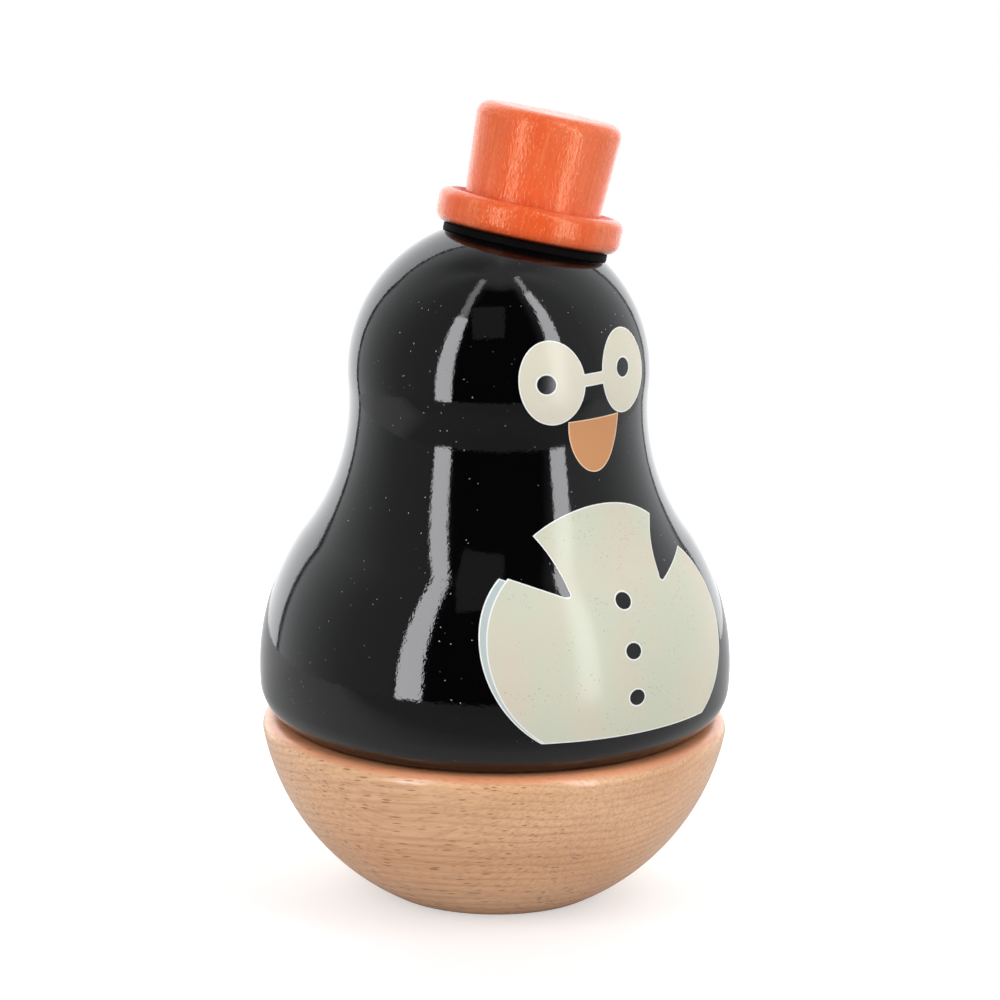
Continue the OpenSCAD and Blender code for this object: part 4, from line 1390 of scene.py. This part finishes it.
        shear = Matrix.Identity(4)
        shear[0][2] = self.shirt_lean if collar else self.shirt_lean - self.shade_lean
        aside = x if collar else x - self.shade_shift
        place = Matrix.Translation((aside * MM, 0, z * MM)) @ shear @ Matrix.Translation((0, 0, -z * MM))
        bmesh.ops.transform(pen.mesh, matrix=place, verts=pen.mesh.verts)
        return pen.mesh


@dataclass
class Movement:
    """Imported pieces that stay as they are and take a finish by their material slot."""

    palette: Palette

    def dress(self, nodes: dict[str, bpy.types.Object], replaced: Sequence[str]) -> None:
        """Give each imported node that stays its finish.

        Args:
            nodes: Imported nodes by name.
            replaced: Nodes that a finer piece stands for.
        """
        for name, node in nodes.items():
            if name in replaced:
                continue
            slot = slot_of(name)
            self.palette.dress(node, Finish[slot.upper()])
            LOG.info("%s: packed shape in %s", name, slot)


@dataclass(frozen=True)
class Strip:
    """Long lamp between two points, in metres to the camera's right, towards the camera and up."""

    name: str
    low: Triple
    high: Triple
    width: float
    radiance: float


@dataclass
class Studio:
    """White light tent: a pale floor with painted shade in front and a painted reflection glow at the
    back, walls that brighten to the back, strip lamps and the camera.
    """

    azimuth: float = -38.5
    elevation: float = 15.38
    roll: float = 0.75
    distance: float = 2.2
    lens: float = 410.3
    sensor: float = 36
    sight: float = 20
    target_z: float = 80
    aim_right: float = 0.578
    aim_down: float = 2.254
    floor_r: float = 0.42
    floor_steps: int = 128
    floor_front: float = 0.14
    floor_middle: float = 0.5
    # The floor's paint by depth: pale near the object and behind it, darker in front as painted shade
    # where the tent's front is dim.
    floor_paint: tuple[Point, ...] = ((0.15, 0.2), (0.34, 0.26), (0.42, 0.6), (0.7, 0.75))
    floor_glow: tuple[Point, ...] = ((0.15, 0.9), (0.34, 0.8), (0.42, 0.42), (0.7, 0.7))
    # Painted reflection: the back of the floor glows, to reflections only.
    floor_mirrored: tuple[Point, ...] = ((0.58, 0), (0.64, 0.12))
    lamp_tint: Colour = (0.97, 0.97, 1.0)
    strips: tuple[Strip, ...] = (
        Strip("left_strip", (-0.5275, 0.607, -0.12), (-0.5275, 0.607, 1.04), 0.18, 8.8),
        Strip("left_ridge", (-0.52, 0.6, 1.04), (-0.3, 0.1, 1.9), 0.11, 3),
        Strip("right_strip", (0.575, 0.58, -0.12), (0.575, 0.405, 1.9), 0.165, 8.2),
        Strip("right_ridge", (0.575, 0.405, 1.9), (0.33, 0.03, 2.05), 0.1, 4),
        Strip("window", (-0.13, 0.79, 0.715), (-0.13, 0.46, 0.99), 0.4, 0.22),
    )
    wall: float = 2.35
    wall_tint: Colour = (0.97, 0.985, 1)
    left_wall: tuple[Point, ...] = (
        (33, 0.0), (52, 0.15), (80, 0.17), (92, 0.22), (105, 0.3), (119, 0.4),
        (131.6, 0.5), (132.6, 0.08), (135.4, 0.08), (136.4, 1.0), (150, 0.92), (180, 0.72),
    )
    right_wall: tuple[Point, ...] = (
        (33, 0.0), (52, 0.22), (80, 0.24), (92, 0.3), (105, 0.36), (119, 0.43),
        (143, 0.55), (144, 0.15), (146.6, 0.15), (147.6, 0.95), (157, 0.85), (180, 0.72),
    )
    roof: float = 0.24
    roof_from: tuple[Point, ...] = ((0.965, 0), (0.995, 1))
    arch: tuple[Point, ...] = ((0.4, 0), (0.6, 8), (0.706, 17), (0.81, 31), (0.87, 45), (1, 80))
    arch_from: tuple[Point, ...] = ((0.58, 0), (0.72, 1))

    def build(self) -> None:
        """Build the floor, the light and the camera."""
        self.lay_floor()
        self.light_walls()
        for strip in self.strips:
            self.hang(strip)
        self.set_camera()
        bpy.context.scene.view_settings.view_transform = "Standard"

    def sides(self) -> Matrix:
        """Give the level directions to the camera's right and towards it, and the one up.

        Returns:
            A matrix with the three directions as its columns.
        """
        a = math.radians(self.azimuth)
        right, near = (math.cos(a), math.sin(a), 0), (math.sin(a), -math.cos(a), 0)
        return Matrix((right, near, (0, 0, 1))).transposed()

    def axes(self) -> tuple[Vector, Vector, Vector]:
        """Give the camera's right, up and back directions before its roll.

        Returns:
            The three directions.
        """
        a, e = math.radians(self.azimuth), math.radians(self.elevation)
        back = Vector((math.sin(a) * math.cos(e), -math.cos(a) * math.cos(e), math.sin(e)))
        right = Vector((math.cos(a), math.sin(a), 0))
        return right, back.cross(right), back

    def lay_floor(self) -> None:
        """Lay a pale round floor that looks white and keeps the object's shadow."""
        mesh = bmesh.new()
        place = Matrix.Translation(self.sides() @ Vector((0, self.floor_front, 0)))
        bmesh.ops.create_circle(
            mesh, cap_ends=True, segments=self.floor_steps, radius=self.floor_r, matrix=place
        )
        floor = put_mesh(mesh, "floor")
        floor.data.materials.append(self.floor_material())

    def seen(self, nodes: Nodes, source: str, shift: float = 0) -> Any:
        """Give coordinates turned with the camera, so that Y runs away from it.

        Args:
            nodes: Tree that the nodes are added to.
            source: Name of the coordinates.
            shift: Offset along Y.

        Returns:
            The outputs X, Y and Z.
        """
        where = nodes.add("TexCoord").outputs[source]
        turn = (0, 0, -math.radians(self.azimuth))
        turned = nodes.add("Mapping", {"Vector": where, "Rotation": turn, "Location": (0, shift, 0)})
        return nodes.add("SeparateXYZ", {"Vector": turned.outputs["Vector"]}).outputs

    def floor_material(self) -> bpy.types.Material:
        """Build the floor: pale paint under the object, painted shade in front, a painted glow at the
        back that only reflections see, and white to the camera.

        Returns:
            The material.
        """
        material = bpy.data.materials.new("pale_floor")
        material.use_nodes = True
        nodes = Nodes(material.node_tree)
        nodes.tree.nodes.clear()
        depth = self.seen(nodes, "Object", self.floor_middle)["Y"]
        path = nodes.add("LightPath").outputs
        # Painted shade: the floor's paint is darker in front.
        matt = nodes.add("BsdfDiffuse", {"Color": nodes.grey(depth, *self.floor_paint)})
        glow_colour = nodes.grey(depth, *self.floor_glow)
        glow = nodes.add("Emission", {"Color": glow_colour, "Strength": path["Is Camera Ray"]})
        # Painted reflection: a glow that only reflections see, towards the back of the floor.
        far_colour = nodes.grey(depth, *self.floor_mirrored)
        mirrored = nodes.add("Emission", {"Color": far_colour, "Strength": path["Is Glossy Ray"]})
        both = nodes.add("AddShader", {0: matt.outputs[0], 1: glow.outputs[0]})
        all_three = nodes.add("AddShader", {0: both.outputs[0], 1: mirrored.outputs[0]})
        nodes.add("OutputMaterial", {"Surface": all_three.outputs[0]})
        return material

    def light_walls(self) -> None:
        """Light the tent's walls: dark in front, brighter to the back, plain white to the camera.

        A wall's brightness follows the angle round the object, 0 on the camera's side and 180 degrees
        behind it. Higher up, the angles at the back are bent by the tent's arch.
        """
        world = bpy.data.worlds.new("light_tent")
        bpy.context.scene.world = world
        world.use_nodes = True
        nodes = Nodes(world.node_tree)
        nodes.tree.nodes.clear()
        parts = self.seen(nodes, "Generated")
        angle = nodes.math("ARCTAN2", parts["X"], nodes.math("MULTIPLY", parts["Y"], -1))
        turned = nodes.math("DIVIDE", nodes.math("ABSOLUTE", angle), math.pi)
        arch = nodes.grey(parts["Z"], *((up, bend / 180) for up, bend in self.arch))
        bend = nodes.math("MULTIPLY", nodes.grey(turned, *self.arch_from), arch)
        bent = nodes.math("SUBTRACT", turned, bend)
        signed = nodes.math("MULTIPLY", bent, nodes.math("SIGN", angle))
        round_share = nodes.math("ADD", nodes.math("MULTIPLY", signed, 0.5), 0.5)
        stops = [(-a, v) for a, v in reversed(self.left_wall)] + list(self.right_wall)
        tints = [(0.5 + a / 360, tuple(v * tint for tint in self.wall_tint)) for a, v in stops]
        walls = nodes.ramp(round_share, tints)
        overhead = nodes.grey(parts["Z"], *self.roof_from)
        inside = nodes.mix(overhead, walls, (self.roof,) * 3)
        tent = nodes.add("Background", {"Color": inside, "Strength": self.wall})
        white = nodes.add("Background", {"Color": (1, 1, 1, 1)})
        to_camera = nodes.add("LightPath").outputs["Is Camera Ray"]
        pick = nodes.add("MixShader", {0: to_camera, 1: tent.outputs[0], 2: white.outputs[0]})
        nodes.add("OutputWorld", {"Surface": pick.outputs[0]})

    def hang(self, strip: Strip) -> None:
        """Hang a strip lamp and turn it to the object.

        Args:
            strip: The lamp.
        """
        sides = self.sides()
        low, high = sides @ Vector(strip.low), sides @ Vector(strip.high)
        length = (high - low).length
        lamp = bpy.data.lights.new(strip.name, "AREA")
        lamp.shape = "RECTANGLE"
        lamp.size, lamp.size_y = strip.width, length
        lamp.energy = strip.radiance * math.pi * strip.width * length
        lamp.color = self.lamp_tint
        holder = put(strip.name, lamp)
        middle = (low + high) / 2
        along = (high - low).normalized()
        facing = Vector((0, 0, self.target_z * MM)) - middle
        facing = (facing - along * facing.dot(along)).normalized()
        across = along.cross(-facing)
        turn = Matrix((across, along, -facing)).transposed()
        holder.matrix_world = Matrix.Translation(middle) @ turn.to_4x4()

    def set_camera(self) -> None:
        """Set the camera at the photograph's angle and make it the scene's."""
        right, up, back = self.axes()
        target = Vector((0, 0, self.target_z * MM))
        place = target + back * self.distance
        aim = target + right * self.aim_right * MM - up * self.aim_down * MM
        data = bpy.data.cameras.new("camera")
        data.lens = self.lens
        data.sensor_width = self.sensor
        data.clip_end = self.sight
        camera = put("camera", data)
        camera.rotation_mode = "QUATERNION"
        camera.location = place
        look = (aim - place).normalized().to_track_quat("-Z", "Y")
        roll = Matrix.Rotation(math.radians(self.roll), 3, "Z").to_quaternion()
        camera.rotation_quaternion = look @ roll
        bpy.context.scene.camera = camera


def main() -> None:
    """Build the music box's looks in order."""
    logging.basicConfig(level=logging.INFO, format="%(message)s")
    palette = Palette()
    figure = Figure()
    Base().build(palette)
    figure.build(palette)
    Hat(figure).build(palette)
    Prints(figure).build(palette)
    Movement(palette).dress(frame["nodes"], ("base_bowl", "penguin_body", "seat_disc", "top_hat"))
    Studio().build()


if __name__ == "__main__":
    main()
